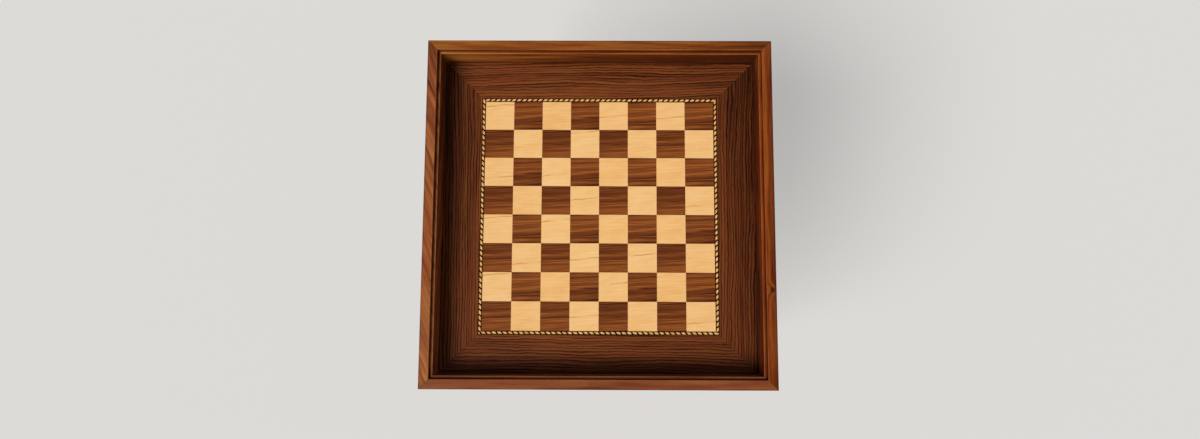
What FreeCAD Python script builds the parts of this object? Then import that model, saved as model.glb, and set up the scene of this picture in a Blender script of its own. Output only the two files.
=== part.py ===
import FreeCAD, Part
import os

import Sketcher

# A square chess table: a deep mitred box on four tapered legs. The floor of the box is
# the chessboard, sixty-four veneer squares inside a rope banding and a mitred border.
#
# Millimetres. The origin is on the floor under the middle of the table, +Z is up, +X is
# to the right of a player who sits at the front, and +Y is away from that player.
#
# The table looks the same from all four sides, so a piece that repeats is drawn once, at
# the front or at the front left corner, and turned about the middle of the table.

SQUARES = 8
SIDES = ("front", "right", "back", "left")
CORNERS = ("front_left", "front_right", "back_right", "back_left")

DIMENSIONS = (
    # the playing field, its banding and its border
    ("square", "50.8", "side of one playing square"),
    ("glue_line", "0.1", "joint between two squares"),
    ("line_width", "1.3", "black line on each side of the rope"),
    ("rope_width", "4.2", "rope of slanted light and black pieces"),
    ("rope_pitch", "9.4", "length of one light and one black piece, before they are fitted"),
    ("rope_black", "3.6", "length of one black piece along the rope"),
    ("rope_lean", "3.8", "how far a slanted end leans along the rope"),
    ("border_width", "65", "veneer border between the banding and the wall"),
    # the board panel
    ("face_thickness", "1.5", "thickness of the squares, the banding and the border"),
    ("core_thickness", "15", "core of the board"),
    ("backing_thickness", "0.8", "backing veneer under the core"),
    ("board_gap", "0.5", "gap between the board and each wall"),
    # the mitred box
    ("table_height", "740", "floor to the top of the rim"),
    ("rail_thickness", "22", "thickness of the four walls"),
    ("rebate_width", "5.4", "step inside the rim, which a cover would lie in"),
    ("rebate_depth", "7.5", "depth of that step below the rim"),
    ("well_depth", "49.5", "from the step down to the playing surface"),
    ("leg_housing", "65", "height of the walls below the board"),
    ("rim_radius", "2", "rounded arris outside the rim"),
    ("step_radius", "0.9", "rounded arris on each edge of the step"),
    ("skirt_radius", "2", "rounded arris under the walls"),
    # the loose tongues in the four mitres
    ("tongue_thickness", "4", "thickness of a loose tongue"),
    ("tongue_width", "16", "width of a loose tongue across the mitre"),
    ("tongue_setback", "12", "from the inner corner out to a tongue, along the mitre"),
    ("tongue_top_stop", "28", "solid wood above a tongue"),
    ("tongue_bottom_stop", "12", "solid wood below a tongue"),
    ("joint_gap", "0.1", "room round a tongue in its slot"),
    # the legs
    ("leg_width", "45", "square top of a leg"),
    ("leg_toe", "28", "square bottom of a leg"),
    ("taper_drop", "25", "from the walls' lower edge down to the start of the taper"),
    ("leg_chamfer", "1.5", "chamfered long edges of a leg"),
    ("leg_flat", "14", "corner taken off a leg where its block bears"),
    # the corner blocks and their bolts
    ("block_thickness", "22", "thickness of a corner block"),
    ("block_lift", "6", "from the walls' lower edge up to a block"),
    ("bolt_diameter", "8", "hanger bolt"),
    ("bolt_bite", "32", "length of a hanger bolt inside the leg"),
    ("bolt_play", "0.5", "room round a bolt in its block"),
    ("bolt_tail", "4", "bolt that stands out of its nut"),
    ("bolt_bevel", "1", "bevel round the blunt end of a bolt"),
    ("washer_width", "20", "outer diameter of a washer"),
    ("washer_thickness", "1.6", "thickness of a washer"),
    ("nut_flats", "13", "across the flats of a nut"),
    ("nut_thickness", "6.5", "thickness of a nut"),
    # the cleats
    ("cleat_width", "20", "width of a cleat, out from the wall"),
    ("cleat_height", "20", "height of a cleat"),
    ("cleat_gap", "1", "between a cleat's end and the corner block"),
    # the wood screws
    ("screw_diameter", "4", "shank of a wood screw"),
    ("head_width", "8", "head of a wood screw"),
    ("head_height", "2.6", "height of that head"),
    ("head_sink", "3", "depth of the counterbore in a cleat"),
    ("head_gap", "0.2", "room round a screw's head in its counterbore"),
    ("screw_gap", "0.1", "room round a screw in its hole"),
    ("rail_cover", "8", "wood left between a screw's point and the outside of a wall"),
    ("core_cover", "5", "core left between a screw's point and the inlay"),
    ("cleat_screw_inset", "25", "from a cleat's end to its first wall screw"),
    ("board_screw_inset", "75", "from a cleat's end to its board screw"),
    ("block_screw_inset", "9", "from a block's heel to its screws"),
    ("block_screw_edge", "14", "from a block's top or bottom edge to its screws"),
    ("block_screw_grip", "10", "block left under a screw's head"),
    # the levelling feet
    ("pad_width", "26", "nylon pad under a leg"),
    ("pad_height", "8", "height of the pad"),
    ("pad_bevel", "1.5", "bevel round the top and the bottom of the pad"),
    ("collar_flats", "13", "hexagon that a spanner turns"),
    ("collar_height", "4", "height of the hexagon"),
    ("stem_diameter", "8", "threaded stem of a foot"),
    ("stem_length", "32", "stem above its hexagon"),
    ("stem_root", "5", "stem moulded into the pad"),
    ("insert_wall", "2", "wall of the brass insert"),
    ("insert_length", "18", "length of the brass insert"),
    ("thread_gap", "0.05", "room between a stem and its insert"),
    ("stem_gap", "0.2", "room round a stem above its insert"),
    ("stem_room", "4", "hole left above the stem"),
)

# Half widths, measured from the middle of the table.
FIELD_HALF = f"({SQUARES // 2} * dims.square)"
ROPE_INNER = f"({FIELD_HALF} + dims.line_width)"
ROPE_OUTER = f"({ROPE_INNER} + dims.rope_width)"
BAND_HALF = f"({ROPE_OUTER} + dims.line_width)"
BOARD_HALF = f"({BAND_HALF} + dims.border_width)"
WELL_HALF = f"({BOARD_HALF} + dims.board_gap)"
STEP_HALF = f"({WELL_HALF} + dims.rebate_width)"
RIM_HALF = f"({WELL_HALF} + dims.rail_thickness)"

# Heights above the floor.
STEP_TOP = "(dims.table_height - dims.rebate_depth)"
BOARD_TOP = f"({STEP_TOP} - dims.well_depth)"
CORE_TOP = f"({BOARD_TOP} - dims.face_thickness)"
CORE_BOTTOM = f"({CORE_TOP} - dims.core_thickness)"
BOARD_BOTTOM = f"({CORE_BOTTOM} - dims.backing_thickness)"
RAIL_BOTTOM = f"({BOARD_BOTTOM} - dims.leg_housing)"
RAIL_HEIGHT = f"(dims.table_height - {RAIL_BOTTOM})"
TONGUE_BOTTOM = f"({RAIL_BOTTOM} + dims.tongue_bottom_stop)"
TONGUE_LENGTH = f"({RAIL_HEIGHT} - dims.tongue_bottom_stop - dims.tongue_top_stop)"
BLOCK_BOTTOM = f"({RAIL_BOTTOM} + dims.block_lift)"
BLOCK_HEIGHT = f"({BOARD_BOTTOM} - {BLOCK_BOTTOM})"
BOLT_LEVEL = f"({BLOCK_BOTTOM} + {BLOCK_HEIGHT} / 2)"
CLEAT_BOTTOM = f"({BOARD_BOTTOM} - dims.cleat_height)"
CLEAT_MIDDLE = f"({BOARD_BOTTOM} - dims.cleat_height / 2)"
TAPER_TOP = f"({RAIL_BOTTOM} - dims.taper_drop)"
LEG_BOTTOM = "(dims.pad_height + dims.collar_height)"

# A corner block runs at 45 degrees from wall to wall. Its heel and its back are given by
# how far from the inner corner of the box they meet the walls.
BLOCK_HEEL = "(2 * dims.leg_width - dims.leg_flat)"
BLOCK_BACK = f"({BLOCK_HEEL} + dims.block_thickness * sqrt(2))"
BLOCK_SCREW = f"({WELL_HALF} - {BLOCK_HEEL} - dims.block_screw_inset)"
BLOCK_SCREW_LOW = f"({BLOCK_BOTTOM} + dims.block_screw_edge)"
BLOCK_SCREW_HIGH = f"({BOARD_BOTTOM} - dims.block_screw_edge)"

# Along the diagonal, measured from the middle of the table.
FLAT_REACH = f"((2 * {WELL_HALF} - {BLOCK_HEEL}) / sqrt(2))"
WASHER_REACH = f"({FLAT_REACH} - dims.block_thickness)"
NUT_REACH = f"({WASHER_REACH} - dims.washer_thickness)"
TAIL_REACH = f"({NUT_REACH} - dims.nut_thickness - dims.bolt_tail)"

# Along a cleat, measured from its middle.
CLEAT_HALF = f"({WELL_HALF} - {BLOCK_BACK} - dims.cleat_gap)"
CLEAT_SCREW = f"({CLEAT_HALF} - dims.cleat_screw_inset)"
BOARD_SCREW = f"({CLEAT_HALF} - dims.board_screw_inset)"
CLEAT_FACE = f"({WELL_HALF} - dims.cleat_width)"
CLEAT_CENTRE = f"({WELL_HALF} - dims.cleat_width / 2)"

RAIL_BITE = "(dims.rail_thickness - dims.rail_cover)"
CORE_BITE = "(dims.core_thickness - dims.core_cover)"
SCREW_HOLE = "(dims.screw_diameter + 2 * dims.screw_gap)"
HEAD_HOLE = "(dims.head_width + 2 * dims.head_gap)"
FOOT_CENTRE = f"({WELL_HALF} - dims.leg_toe / 2)"
INSERT_WIDTH = "(dims.stem_diameter + 2 * dims.thread_gap + 2 * dims.insert_wall)"

# How far a cutting outline stands clear of the wood that it cuts away.
CLEAR = "1"

# Two points nearer than this are the same point.
NEAR = 0.01

doc = FreeCAD.newDocument("ChessTable")
sheet = doc.addObject("Spreadsheet::Sheet", "dims")
sub_parts = []


def fill_sheet():
    for row, (alias, value, meaning) in enumerate(DIMENSIONS, start=1):
        sheet.set(f"A{row}", value)
        sheet.setAlias(f"A{row}", alias)
        sheet.set(f"B{row}", meaning)
    doc.recompute()


def number(expression):
    """What an expression comes to with the sizes in the sheet."""
    return float(sheet.evalExpression(expression))


# ---- bodies and sketches ----------------------------------------------------------


def new_body(label, quarter_turns=0):
    """A body that holds one sub-part, turned about the middle of the table."""
    body = doc.addObject("PartDesign::Body", label)
    body.Label = label
    turn = FreeCAD.Rotation(FreeCAD.Vector(0, 0, 1), 90 * quarter_turns)
    body.Placement = FreeCAD.Placement(FreeCAD.Vector(), turn)
    sub_parts.append(body)
    return body


def origin_feature(body, role):
    for feature in body.Origin.OriginFeatures:
        if feature.Role == role:
            return feature
    raise ValueError(role)


def new_sketch(body, role, turn=None, **offsets):
    """A sketch on one of the body's own planes, moved by expressions for x, y and z."""
    sketch = body.newObject("Sketcher::SketchObject", body.Name + "_sketch")
    sketch.AttachmentSupport = (origin_feature(body, role), [""])
    sketch.MapMode = "FlatFace"
    if turn is not None:
        sketch.AttachmentOffset = FreeCAD.Placement(FreeCAD.Vector(), turn)
    for axis, expression in offsets.items():
        sketch.setExpression(f"AttachmentOffset.Base.{axis}", expression)
    return sketch


def plan_sketch(body, height):
    """Seen from above: x to the right, y away. Its normal points up."""
    return new_sketch(body, "XY_Plane", z=height)


def front_sketch(body, distance):
    """Seen from the front: x to the right, y up. It lies at Y = -distance and its
    normal points to the front."""
    return new_sketch(body, "XZ_Plane", z=distance)


def side_sketch(body, distance="0"):
    """Seen from the right: x away, y up. It lies at X = distance, normal to the right."""
    return new_sketch(body, "YZ_Plane", z=distance)


def corner_sketch(body, reach):
    """Square to the front left diagonal, at that reach from the middle of the table.
    Its y is up, and its normal points out to the corner."""
    turn = FreeCAD.Rotation(FreeCAD.Vector(0, 1, 0), -45)
    across = f"{reach} / sqrt(2)"
    return new_sketch(body, "XZ_Plane", turn, x=f"-({across})", z=across)


def diagonal_sketch(body, height):
    """Level, with its x running out along the front left diagonal."""
    turn = FreeCAD.Rotation(FreeCAD.Vector(0, 0, 1), -135)
    return new_sketch(body, "XY_Plane", turn, z=height)


def polygon(sketch, points):
    """A closed outline. Each corner is held at an x and a y, given as expressions."""
    first = sketch.GeometryCount
    count = len(points)
    places = [FreeCAD.Vector(number(x), number(y), 0) for x, y in points]
    for index in range(count):
        sketch.addGeometry(Part.LineSegment(places[index], places[(index + 1) % count]), False)
    for index, (x, y) in enumerate(points):
        line = first + index
        following = first + (index + 1) % count
        sketch.addConstraint(Sketcher.Constraint("Coincident", line, 2, following, 1))
        hold_point(sketch, "DistanceX", line, 1, x)
        hold_point(sketch, "DistanceY", line, 1, y)


def hold_point(sketch, kind, geometry, end, expression):
    """Keep a point at its distance from the sketch's origin."""
    rule = Sketcher.Constraint(kind, -1, 1, geometry, end, number(expression))
    index = sketch.addConstraint(rule)
    sketch.setExpression(f"Constraints[{index}]", expression)


def rectangle(sketch, low, high):
    (left, bottom), (right, top) = low, high
    polygon(sketch, [(left, bottom), (right, bottom), (right, top), (left, top)])


def circle(sketch, x, y, diameter):
    centre = FreeCAD.Vector(number(x), number(y), 0)
    normal = FreeCAD.Vector(0, 0, 1)
    geometry = sketch.addGeometry(Part.Circle(centre, normal, number(diameter) / 2), False)
    hold_point(sketch, "DistanceX", geometry, 3, x)
    hold_point(sketch, "DistanceY", geometry, 3, y)
    rule = Sketcher.Constraint("Diameter", geometry, number(diameter))
    index = sketch.addConstraint(rule)
    sketch.setExpression(f"Constraints[{index}]", diameter)


def hexagon(sketch, x, y, flats):
    """A hexagon with two corners on the level line through its middle."""
    corner = f"({flats} / sqrt(3))"
    half = f"({flats} / 2)"
    polygon(sketch, [
        (f"{x} + {corner}", y),
        (f"{x} + {corner} / 2", f"{y} + {half}"),
        (f"{x} - {corner} / 2", f"{y} + {half}"),
        (f"{x} - {corner}", y),
        (f"{x} - {corner} / 2", f"{y} - {half}"),
        (f"{x} + {corner} / 2", f"{y} - {half}"),
    ])


# ---- features ---------------------------------------------------------------------


def pad(body, sketch, length, both_ways=False, backwards=False):
    feature = body.newObject("PartDesign::Pad", body.Name + "_pad")
    feature.Profile = sketch
    feature.setExpression("Length", length)
    feature.Midplane = both_ways
    feature.Reversed = backwards
    doc.recompute()
    return feature


def pocket(body, sketch, depth=None, along_normal=False):
    """Cut a sketch's outline, against its normal or along it, to a depth or right
    through, and make sure that it cuts."""
    before = body.Shape.Volume
    feature = body.newObject("PartDesign::Pocket", body.Name + "_pocket")
    feature.Profile = sketch
    feature.Reversed = along_normal
    if depth is None:
        feature.Type = "ThroughAll"
    else:
        feature.setExpression("Length", depth)
    doc.recompute()
    if body.Shape.Volume > before - 0.01:
        raise RuntimeError(body.Label + ": a pocket cuts nothing")
    return feature


def turned(body, sketch, points):
    """A solid of revolution. Each point is a place along the sketch's x axis and a
    radius, and the outline is turned about that axis."""
    polygon(sketch, points)
    feature = body.newObject("PartDesign::Revolution", body.Name + "_turning")
    feature.Profile = sketch
    feature.ReferenceAxis = (sketch, ["H_Axis"])
    feature.Angle = 360
    doc.recompute()
    return feature


def long_edges(shape, places):
    """The names of the edges that run along X through these places, each a Y and a Z."""
    names = []
    for index, edge in enumerate(shape.Edges, start=1):
        start = edge.Vertexes[0].Point
        end = edge.Vertexes[-1].Point
        for y, z in places:
            line = (FreeCAD.Vector(start.x, y, z), FreeCAD.Vector(end.x, y, z))
            if start.isEqual(line[0], NEAR) and end.isEqual(line[1], NEAR):
                names.append(f"Edge{index}")
    return names


def round_edges(body, feature, radius, places):
    """Round the edges along X at these places, given as expressions for Y and Z."""
    numbers = [(number(y), number(z)) for y, z in places]
    names = long_edges(feature.Shape, numbers)
    if len(names) != len(places):
        raise RuntimeError(body.Label + ": an edge to be rounded is missing")
    fillet = body.newObject("PartDesign::Fillet", body.Name + "_rounding")
    fillet.Base = (feature, names)
    fillet.setExpression("Radius", radius)
    doc.recompute()
    return fillet


def repeated_round(body, feature):
    """Four copies about the middle of the table."""
    pattern = body.newObject("PartDesign::PolarPattern", body.Name + "_round")
    pattern.Originals = [feature]
    pattern.Axis = (origin_feature(body, "Z_Axis"), [""])
    pattern.Angle = 360
    pattern.Occurrences = len(CORNERS)
    body.Tip = pattern
    doc.recompute()
    return pattern


def grid_of(pattern, body, first, second=None):
    """Set up a straight pattern: an axis, the whole length and the number of copies."""
    axis, length, count = first
    pattern.Direction = (origin_feature(body, axis), [""])
    pattern.setExpression("Length", length)
    pattern.Occurrences = count
    if second is not None:
        axis, length, count = second
        pattern.Direction2 = (origin_feature(body, axis), [""])
        pattern.setExpression("Length2", length)
        pattern.Occurrences2 = count


def repeated_grid(body, feature, first, second):
    """Copies in rows and columns."""
    pattern = body.newObject("PartDesign::LinearPattern", body.Name + "_grid")
    pattern.Originals = [feature]
    grid_of(pattern, body, first, second)
    body.Tip = pattern
    doc.recompute()
    return pattern


def repeated_on_sides(body, feature, first, second=None):
    """A straight row or grid of copies on the front, and the same on all four sides."""
    group = body.newObject("PartDesign::MultiTransform", body.Name + "_sides")
    group.Originals = [feature]
    straight = body.newObject("PartDesign::LinearPattern", body.Name + "_row")
    grid_of(straight, body, first, second)
    around = body.newObject("PartDesign::PolarPattern", body.Name + "_round")
    around.Axis = (origin_feature(body, "Z_Axis"), [""])
    around.Angle = 360
    around.Occurrences = len(SIDES)
    group.Transformations = [straight, around]
    body.Tip = group
    doc.recompute()
    return group


# ---- the mitred box ---------------------------------------------------------------


def rail(side, quarter_turns):
    """One wall of the box: a moulded section, mitred at both ends, with a slot for the
    loose tongue in each mitre and pilot holes for the screws of cleats and blocks."""
    body = new_body("rail_" + side, quarter_turns)
    section = side_sketch(body)
    polygon(section, [
        (f"-{RIM_HALF}", RAIL_BOTTOM),
        (f"-{WELL_HALF}", RAIL_BOTTOM),
        (f"-{WELL_HALF}", STEP_TOP),
        (f"-{STEP_HALF}", STEP_TOP),
        (f"-{STEP_HALF}", "dims.table_height"),
        (f"-{RIM_HALF}", "dims.table_height"),
    ])
    wood = pad(body, section, f"2 * {RIM_HALF}", both_ways=True)
    wood = round_edges(body, wood, "dims.rim_radius", [(f"-{RIM_HALF}", "dims.table_height")])
    wood = round_edges(body, wood, "dims.step_radius", [
        (f"-{STEP_HALF}", "dims.table_height"),
        (f"-{WELL_HALF}", STEP_TOP),
    ])
    round_edges(body, wood, "dims.skirt_radius", [(f"-{RIM_HALF}", RAIL_BOTTOM)])
    cut_mitres(body)
    cut_tongue_slots(body)
    bore_rail(body)


def cut_mitres(body):
    outside = f"({RIM_HALF} + {CLEAR})"
    inside = f"({WELL_HALF} - {CLEAR})"
    sketch = plan_sketch(body, f"{RAIL_BOTTOM} - {CLEAR}")
    for sign in ("-", ""):
        polygon(sketch, [
            (f"{sign}{outside}", f"-{outside}"),
            (f"{sign}{inside}", f"-{inside}"),
            (f"{sign}{outside}", f"-{inside}"),
        ])
    pocket(body, sketch, along_normal=True)


def tongue_outline(mirror, room):
    """A tongue in plan, square to the mitre of the front left or front right corner."""
    middle = f"({WELL_HALF} + dims.tongue_setback / sqrt(2))"
    across = f"((dims.tongue_width / 2 + {room}) / sqrt(2))"
    along = f"((dims.tongue_thickness / 2 + {room}) / sqrt(2))"
    sign = "" if mirror else "-"
    return [
        (f"{sign}({middle} - {across} - {along})", f"-({middle} + {across} - {along})"),
        (f"{sign}({middle} + {across} - {along})", f"-({middle} - {across} - {along})"),
        (f"{sign}({middle} + {across} + {along})", f"-({middle} - {across} + {along})"),
        (f"{sign}({middle} - {across} + {along})", f"-({middle} + {across} + {along})"),
    ]


def cut_tongue_slots(body):
    sketch = plan_sketch(body, f"{TONGUE_BOTTOM} - dims.joint_gap")
    for mirror in (False, True):
        polygon(sketch, tongue_outline(mirror, "dims.joint_gap"))
    pocket(body, sketch, f"{TONGUE_LENGTH} + 2 * dims.joint_gap", along_normal=True)


def bore_rail(body):
    """Blind pilot holes, from the inner face of the wall."""
    sketch = front_sketch(body, WELL_HALF)
    for x in (f"-{CLEAT_SCREW}", "0", CLEAT_SCREW):
        circle(sketch, x, CLEAT_MIDDLE, SCREW_HOLE)
    for x in (f"-{BLOCK_SCREW}", BLOCK_SCREW):
        circle(sketch, x, BLOCK_SCREW_LOW, SCREW_HOLE)
        circle(sketch, x, BLOCK_SCREW_HIGH, SCREW_HOLE)
    pocket(body, sketch, f"{RAIL_BITE} + dims.screw_gap", along_normal=True)


def mitre_tongues():
    """Four loose tongues, one glued across each mitre."""
    body = new_body("mitre_tongues")
    sketch = plan_sketch(body, TONGUE_BOTTOM)
    polygon(sketch, tongue_outline(False, "0"))
    repeated_round(body, pad(body, sketch, TONGUE_LENGTH))


# ---- the legs ---------------------------------------------------------------------


def leg_outline(sketch, width):
    """A square with chamfered corners, its outer corner in the inner corner of the box."""
    far = f"-{WELL_HALF}"
    near = f"(-{WELL_HALF} + {width})"
    cut = "dims.leg_chamfer"
    polygon(sketch, [
        (f"{far} + {cut}", far),
        (f"{near} - {cut}", far),
        (near, f"{far} + {cut}"),
        (near, f"{near} - {cut}"),
        (f"{near} - {cut}", near),
        (f"{far} + {cut}", near),
        (far, f"{near} - {cut}"),
        (far, f"{far} + {cut}"),
    ])


def leg(corner, quarter_turns):
    """A leg with a square top in the corner of the box. Its two outer faces are
    straight, and its two inner faces taper towards the foot."""
    body = new_body("leg_" + corner, quarter_turns)
    top = plan_sketch(body, TAPER_TOP)
    leg_outline(top, "dims.leg_width")
    toe = plan_sketch(body, LEG_BOTTOM)
    leg_outline(toe, "dims.leg_toe")
    pad(body, top, f"{BOARD_BOTTOM} - {TAPER_TOP}")
    taper = body.newObject("PartDesign::AdditiveLoft", body.Name + "_taper")
    taper.Profile = top
    taper.Sections = [toe]
    taper.Ruled = True
    doc.recompute()
    cut_leg_flat(body)
    bore_leg(body)


def cut_leg_flat(body):
    """Take the inner corner off the top of the leg, for the corner block to bear on."""
    beyond = f"(-{WELL_HALF} + dims.leg_width + {CLEAR})"
    short = f"({beyond} - dims.leg_flat - 2 * {CLEAR})"
    sketch = plan_sketch(body, BLOCK_BOTTOM)
    polygon(sketch, [(beyond, short), (beyond, beyond), (short, beyond)])
    pocket(body, sketch, along_normal=True)


def bore_leg(body):
    """A pilot hole for the hanger bolt, and a stepped hole for the brass insert and the
    end of the foot's stem."""
    bolt = corner_sketch(body, FLAT_REACH)
    circle(bolt, "0", BOLT_LEVEL, "(dims.bolt_diameter + 2 * dims.screw_gap)")
    pocket(body, bolt, "dims.bolt_bite + dims.screw_gap", along_normal=True)
    insert = plan_sketch(body, LEG_BOTTOM)
    centre = f"-{FOOT_CENTRE}"
    circle(insert, centre, centre, f"({INSERT_WIDTH} + 2 * dims.screw_gap)")
    pocket(body, insert, "dims.insert_length", along_normal=True)
    stem = plan_sketch(body, LEG_BOTTOM)
    circle(stem, centre, centre, "(dims.stem_diameter + 2 * dims.stem_gap)")
    pocket(body, stem, "dims.stem_length + dims.stem_room", along_normal=True)


# ---- the corner blocks ------------------------------------------------------------


def corner_block(corner, quarter_turns):
    """A block at 45 degrees from wall to wall, bearing on the flat of the leg."""
    body = new_body("corner_block_" + corner, quarter_turns)
    wall = f"-{WELL_HALF}"
    heel = f"(-{WELL_HALF} + {BLOCK_HEEL})"
    back = f"(-{WELL_HALF} + {BLOCK_BACK})"
    sketch = plan_sketch(body, BLOCK_BOTTOM)
    polygon(sketch, [(heel, wall), (back, wall), (wall, back), (wall, heel)])
    pad(body, sketch, BLOCK_HEIGHT)
    bolt = corner_sketch(body, FLAT_REACH)
    circle(bolt, "0", BOLT_LEVEL, "(dims.bolt_diameter + 2 * dims.bolt_play)")
    pocket(body, bolt)
    bore_block(body, front_sketch, WELL_HALF, "-", along_normal=False)
    bore_block(body, side_sketch, f"-{WELL_HALF}", "+", along_normal=True)


def bore_block(body, plane, wall, inwards, along_normal):
    """Two screw holes from one wall through the block, each with a counterbore for the
    head. The counterbores start inwards of the wall, which is a plus or a minus."""
    seat = f"{wall} {inwards} dims.block_screw_grip"
    for distance, diameter in ((wall, SCREW_HOLE), (seat, HEAD_HOLE)):
        sketch = plane(body, distance)
        for height in (BLOCK_SCREW_LOW, BLOCK_SCREW_HIGH):
            circle(sketch, f"-{BLOCK_SCREW}", height, diameter)
        pocket(body, sketch, along_normal=along_normal)


def hanger_bolts():
    """A hanger bolt in each leg, its point in the wood and its tail through the block."""
    body = new_body("hanger_bolts")
    sketch = diagonal_sketch(body, BOLT_LEVEL)
    radius = "dims.bolt_diameter / 2"
    tip = f"({FLAT_REACH} + dims.bolt_bite)"
    bolt = turned(body, sketch, [
        (TAIL_REACH, "0"),
        (TAIL_REACH, f"{radius} - dims.bolt_bevel"),
        (f"{TAIL_REACH} + dims.bolt_bevel", radius),
        (f"{tip} - dims.bolt_diameter", radius),
        (tip, "0"),
    ])
    repeated_round(body, bolt)


def bolt_washers():
    body = new_body("bolt_washers")
    sketch = diagonal_sketch(body, BOLT_LEVEL)
    hole = "(dims.bolt_diameter / 2 + dims.screw_gap)"
    washer = turned(body, sketch, [
        (NUT_REACH, hole),
        (NUT_REACH, "dims.washer_width / 2"),
        (WASHER_REACH, "dims.washer_width / 2"),
        (WASHER_REACH, hole),
    ])
    repeated_round(body, washer)


def bolt_nuts():
    body = new_body("bolt_nuts")
    sketch = corner_sketch(body, NUT_REACH)
    hexagon(sketch, "0", BOLT_LEVEL, "dims.nut_flats")
    circle(sketch, "0", BOLT_LEVEL, "(dims.bolt_diameter + 2 * dims.screw_gap)")
    repeated_round(body, pad(body, sketch, "dims.nut_thickness", backwards=True))


# ---- the board --------------------------------------------------------------------


def board_sheet(label, bottom, thickness, depth):
    """A square sheet of the board, with a hole at each board screw, from its underside
    to a depth or right through."""
    body = new_body(label)
    outline = plan_sketch(body, bottom)
    rectangle(outline, (f"-{BOARD_HALF}", f"-{BOARD_HALF}"), (BOARD_HALF, BOARD_HALF))
    pad(body, outline, thickness)
    holes = plan_sketch(body, bottom)
    for along in (f"-{BOARD_SCREW}", BOARD_SCREW):
        for wall in (f"-{CLEAT_CENTRE}", CLEAT_CENTRE):
            circle(holes, along, wall, SCREW_HOLE)
            circle(holes, wall, along, SCREW_HOLE)
    pocket(body, holes, depth, along_normal=True)


def border(side, quarter_turns):
    """One strip of the veneer border, mitred at both ends."""
    body = new_body("border_" + side, quarter_turns)
    sketch = plan_sketch(body, CORE_TOP)
    polygon(sketch, [
        (f"-{BOARD_HALF}", f"-{BOARD_HALF}"),
        (BOARD_HALF, f"-{BOARD_HALF}"),
        (BAND_HALF, f"-{BAND_HALF}"),
        (f"-{BAND_HALF}", f"-{BAND_HALF}"),
    ])
    pad(body, sketch, "dims.face_thickness")


def squares(label, first_columns):
    """All squares of one colour. The first two rows are drawn as one square each, and
    a grid two squares apart makes the rest."""
    body = new_body(label)
    sketch = plan_sketch(body, CORE_TOP)
    half_joint = "dims.glue_line / 2"
    for row, column in enumerate(first_columns):
        left = f"(-{FIELD_HALF} + {column} * dims.square)"
        front = f"(-{FIELD_HALF} + {row} * dims.square)"
        rectangle(
            sketch,
            (f"{left} + {half_joint}", f"{front} + {half_joint}"),
            (f"{left} + dims.square - {half_joint}", f"{front} + dims.square - {half_joint}"),
        )
    pair = pad(body, sketch, "dims.face_thickness")
    copies = SQUARES // 2
    reach = f"{SQUARES - 2} * dims.square"
    repeated_grid(body, pair, ("X_Axis", reach, copies), ("Y_Axis", reach, copies))


# ---- the rope banding -------------------------------------------------------------
# The banding is made as a maker lays it: slanted pieces of light and black wood between
# two black lines, in four strips that are mitred at the corners of the field. Two of the
# strips are laid face down, so their pieces lean the other way.

FACE_DOWN = ("front", "right")


def prism(corners, bottom, thickness):
    """A flat piece from its corners in plan."""
    places = [FreeCAD.Vector(x, y, bottom) for x, y in corners]
    face = Part.Face(Part.makePolygon(places + places[:1]))
    return face.extrude(FreeCAD.Vector(0, 0, thickness))


def mitred_strip(inner, outer, bottom, thickness):
    """The front strip of a square frame between two half widths."""
    corners = [(-outer, -outer), (outer, -outer), (inner, -inner), (-inner, -inner)]
    return prism(corners, bottom, thickness)


def on_sides(solids, sides):
    """The same solids, drawn for the front, on these sides of the field."""
    copies = []
    for side in sides:
        for solid in solids:
            copy = solid.copy()
            copy.rotate(FreeCAD.Vector(), FreeCAD.Vector(0, 0, 1), 90 * SIDES.index(side))
            copies.append(copy)
    return copies


def add_group(label, solids):
    """A sub-part that is a group of separate solids."""
    feature = doc.addObject("Part::Feature", label)
    feature.Label = label
    feature.Shape = Part.makeCompound(solids)
    feature.Placement = FreeCAD.Placement()
    sub_parts.append(feature)


def banding_line(label, inner):
    """A black line round the field: four mitred strips."""
    start = number(inner)
    end = start + number("dims.line_width")
    strip = mitred_strip(start, end, number(CORE_TOP), number("dims.face_thickness"))
    add_group(label, on_sides([strip], SIDES))


def slanted_piece(start, end, half_lean, inner, outer, bottom, thickness):
    """A piece of the rope between two slanted joints. start and end are where the
    joints cross the middle of the rope, on the front side."""
    corners = [
        (start - half_lean, -outer),
        (end - half_lean, -outer),
        (end + half_lean, -inner),
        (start + half_lean, -inner),
    ]
    return prism(corners, bottom, thickness)


def rope():
    """The light and the black pieces of the rope. A whole number of pairs fits each
    side, and the end pieces are trimmed to the mitres. A strip that is laid face down
    has its left and right exchanged."""
    inner = number(ROPE_INNER)
    outer = number(ROPE_OUTER)
    bottom = number(CORE_TOP)
    thickness = number("dims.face_thickness")
    strip = mitred_strip(inner, outer, bottom, thickness)
    length = inner + outer
    pairs = round(length / number("dims.rope_pitch"))
    pitch = length / pairs
    black = number("dims.rope_black")
    half_lean = number("dims.rope_lean") / 2
    pieces = {"rope_light": [], "rope_black": []}
    for side in SIDES:
        way = -1 if side in FACE_DOWN else 1
        for index in range(-1, pairs + 1):
            start = -length / 2 + index * pitch
            joint = start + pitch - black
            for colour, ends in (("rope_light", (start, joint)), ("rope_black", (joint, start + pitch))):
                left, right = sorted(way * end for end in ends)
                piece = slanted_piece(left, right, way * half_lean, inner, outer, bottom, thickness)
                pieces[colour] += on_sides(piece.common(strip).Solids, [side])
    for colour, solids in pieces.items():
        add_group(colour, solids)


# ---- the cleats and the screws ----------------------------------------------------


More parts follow.
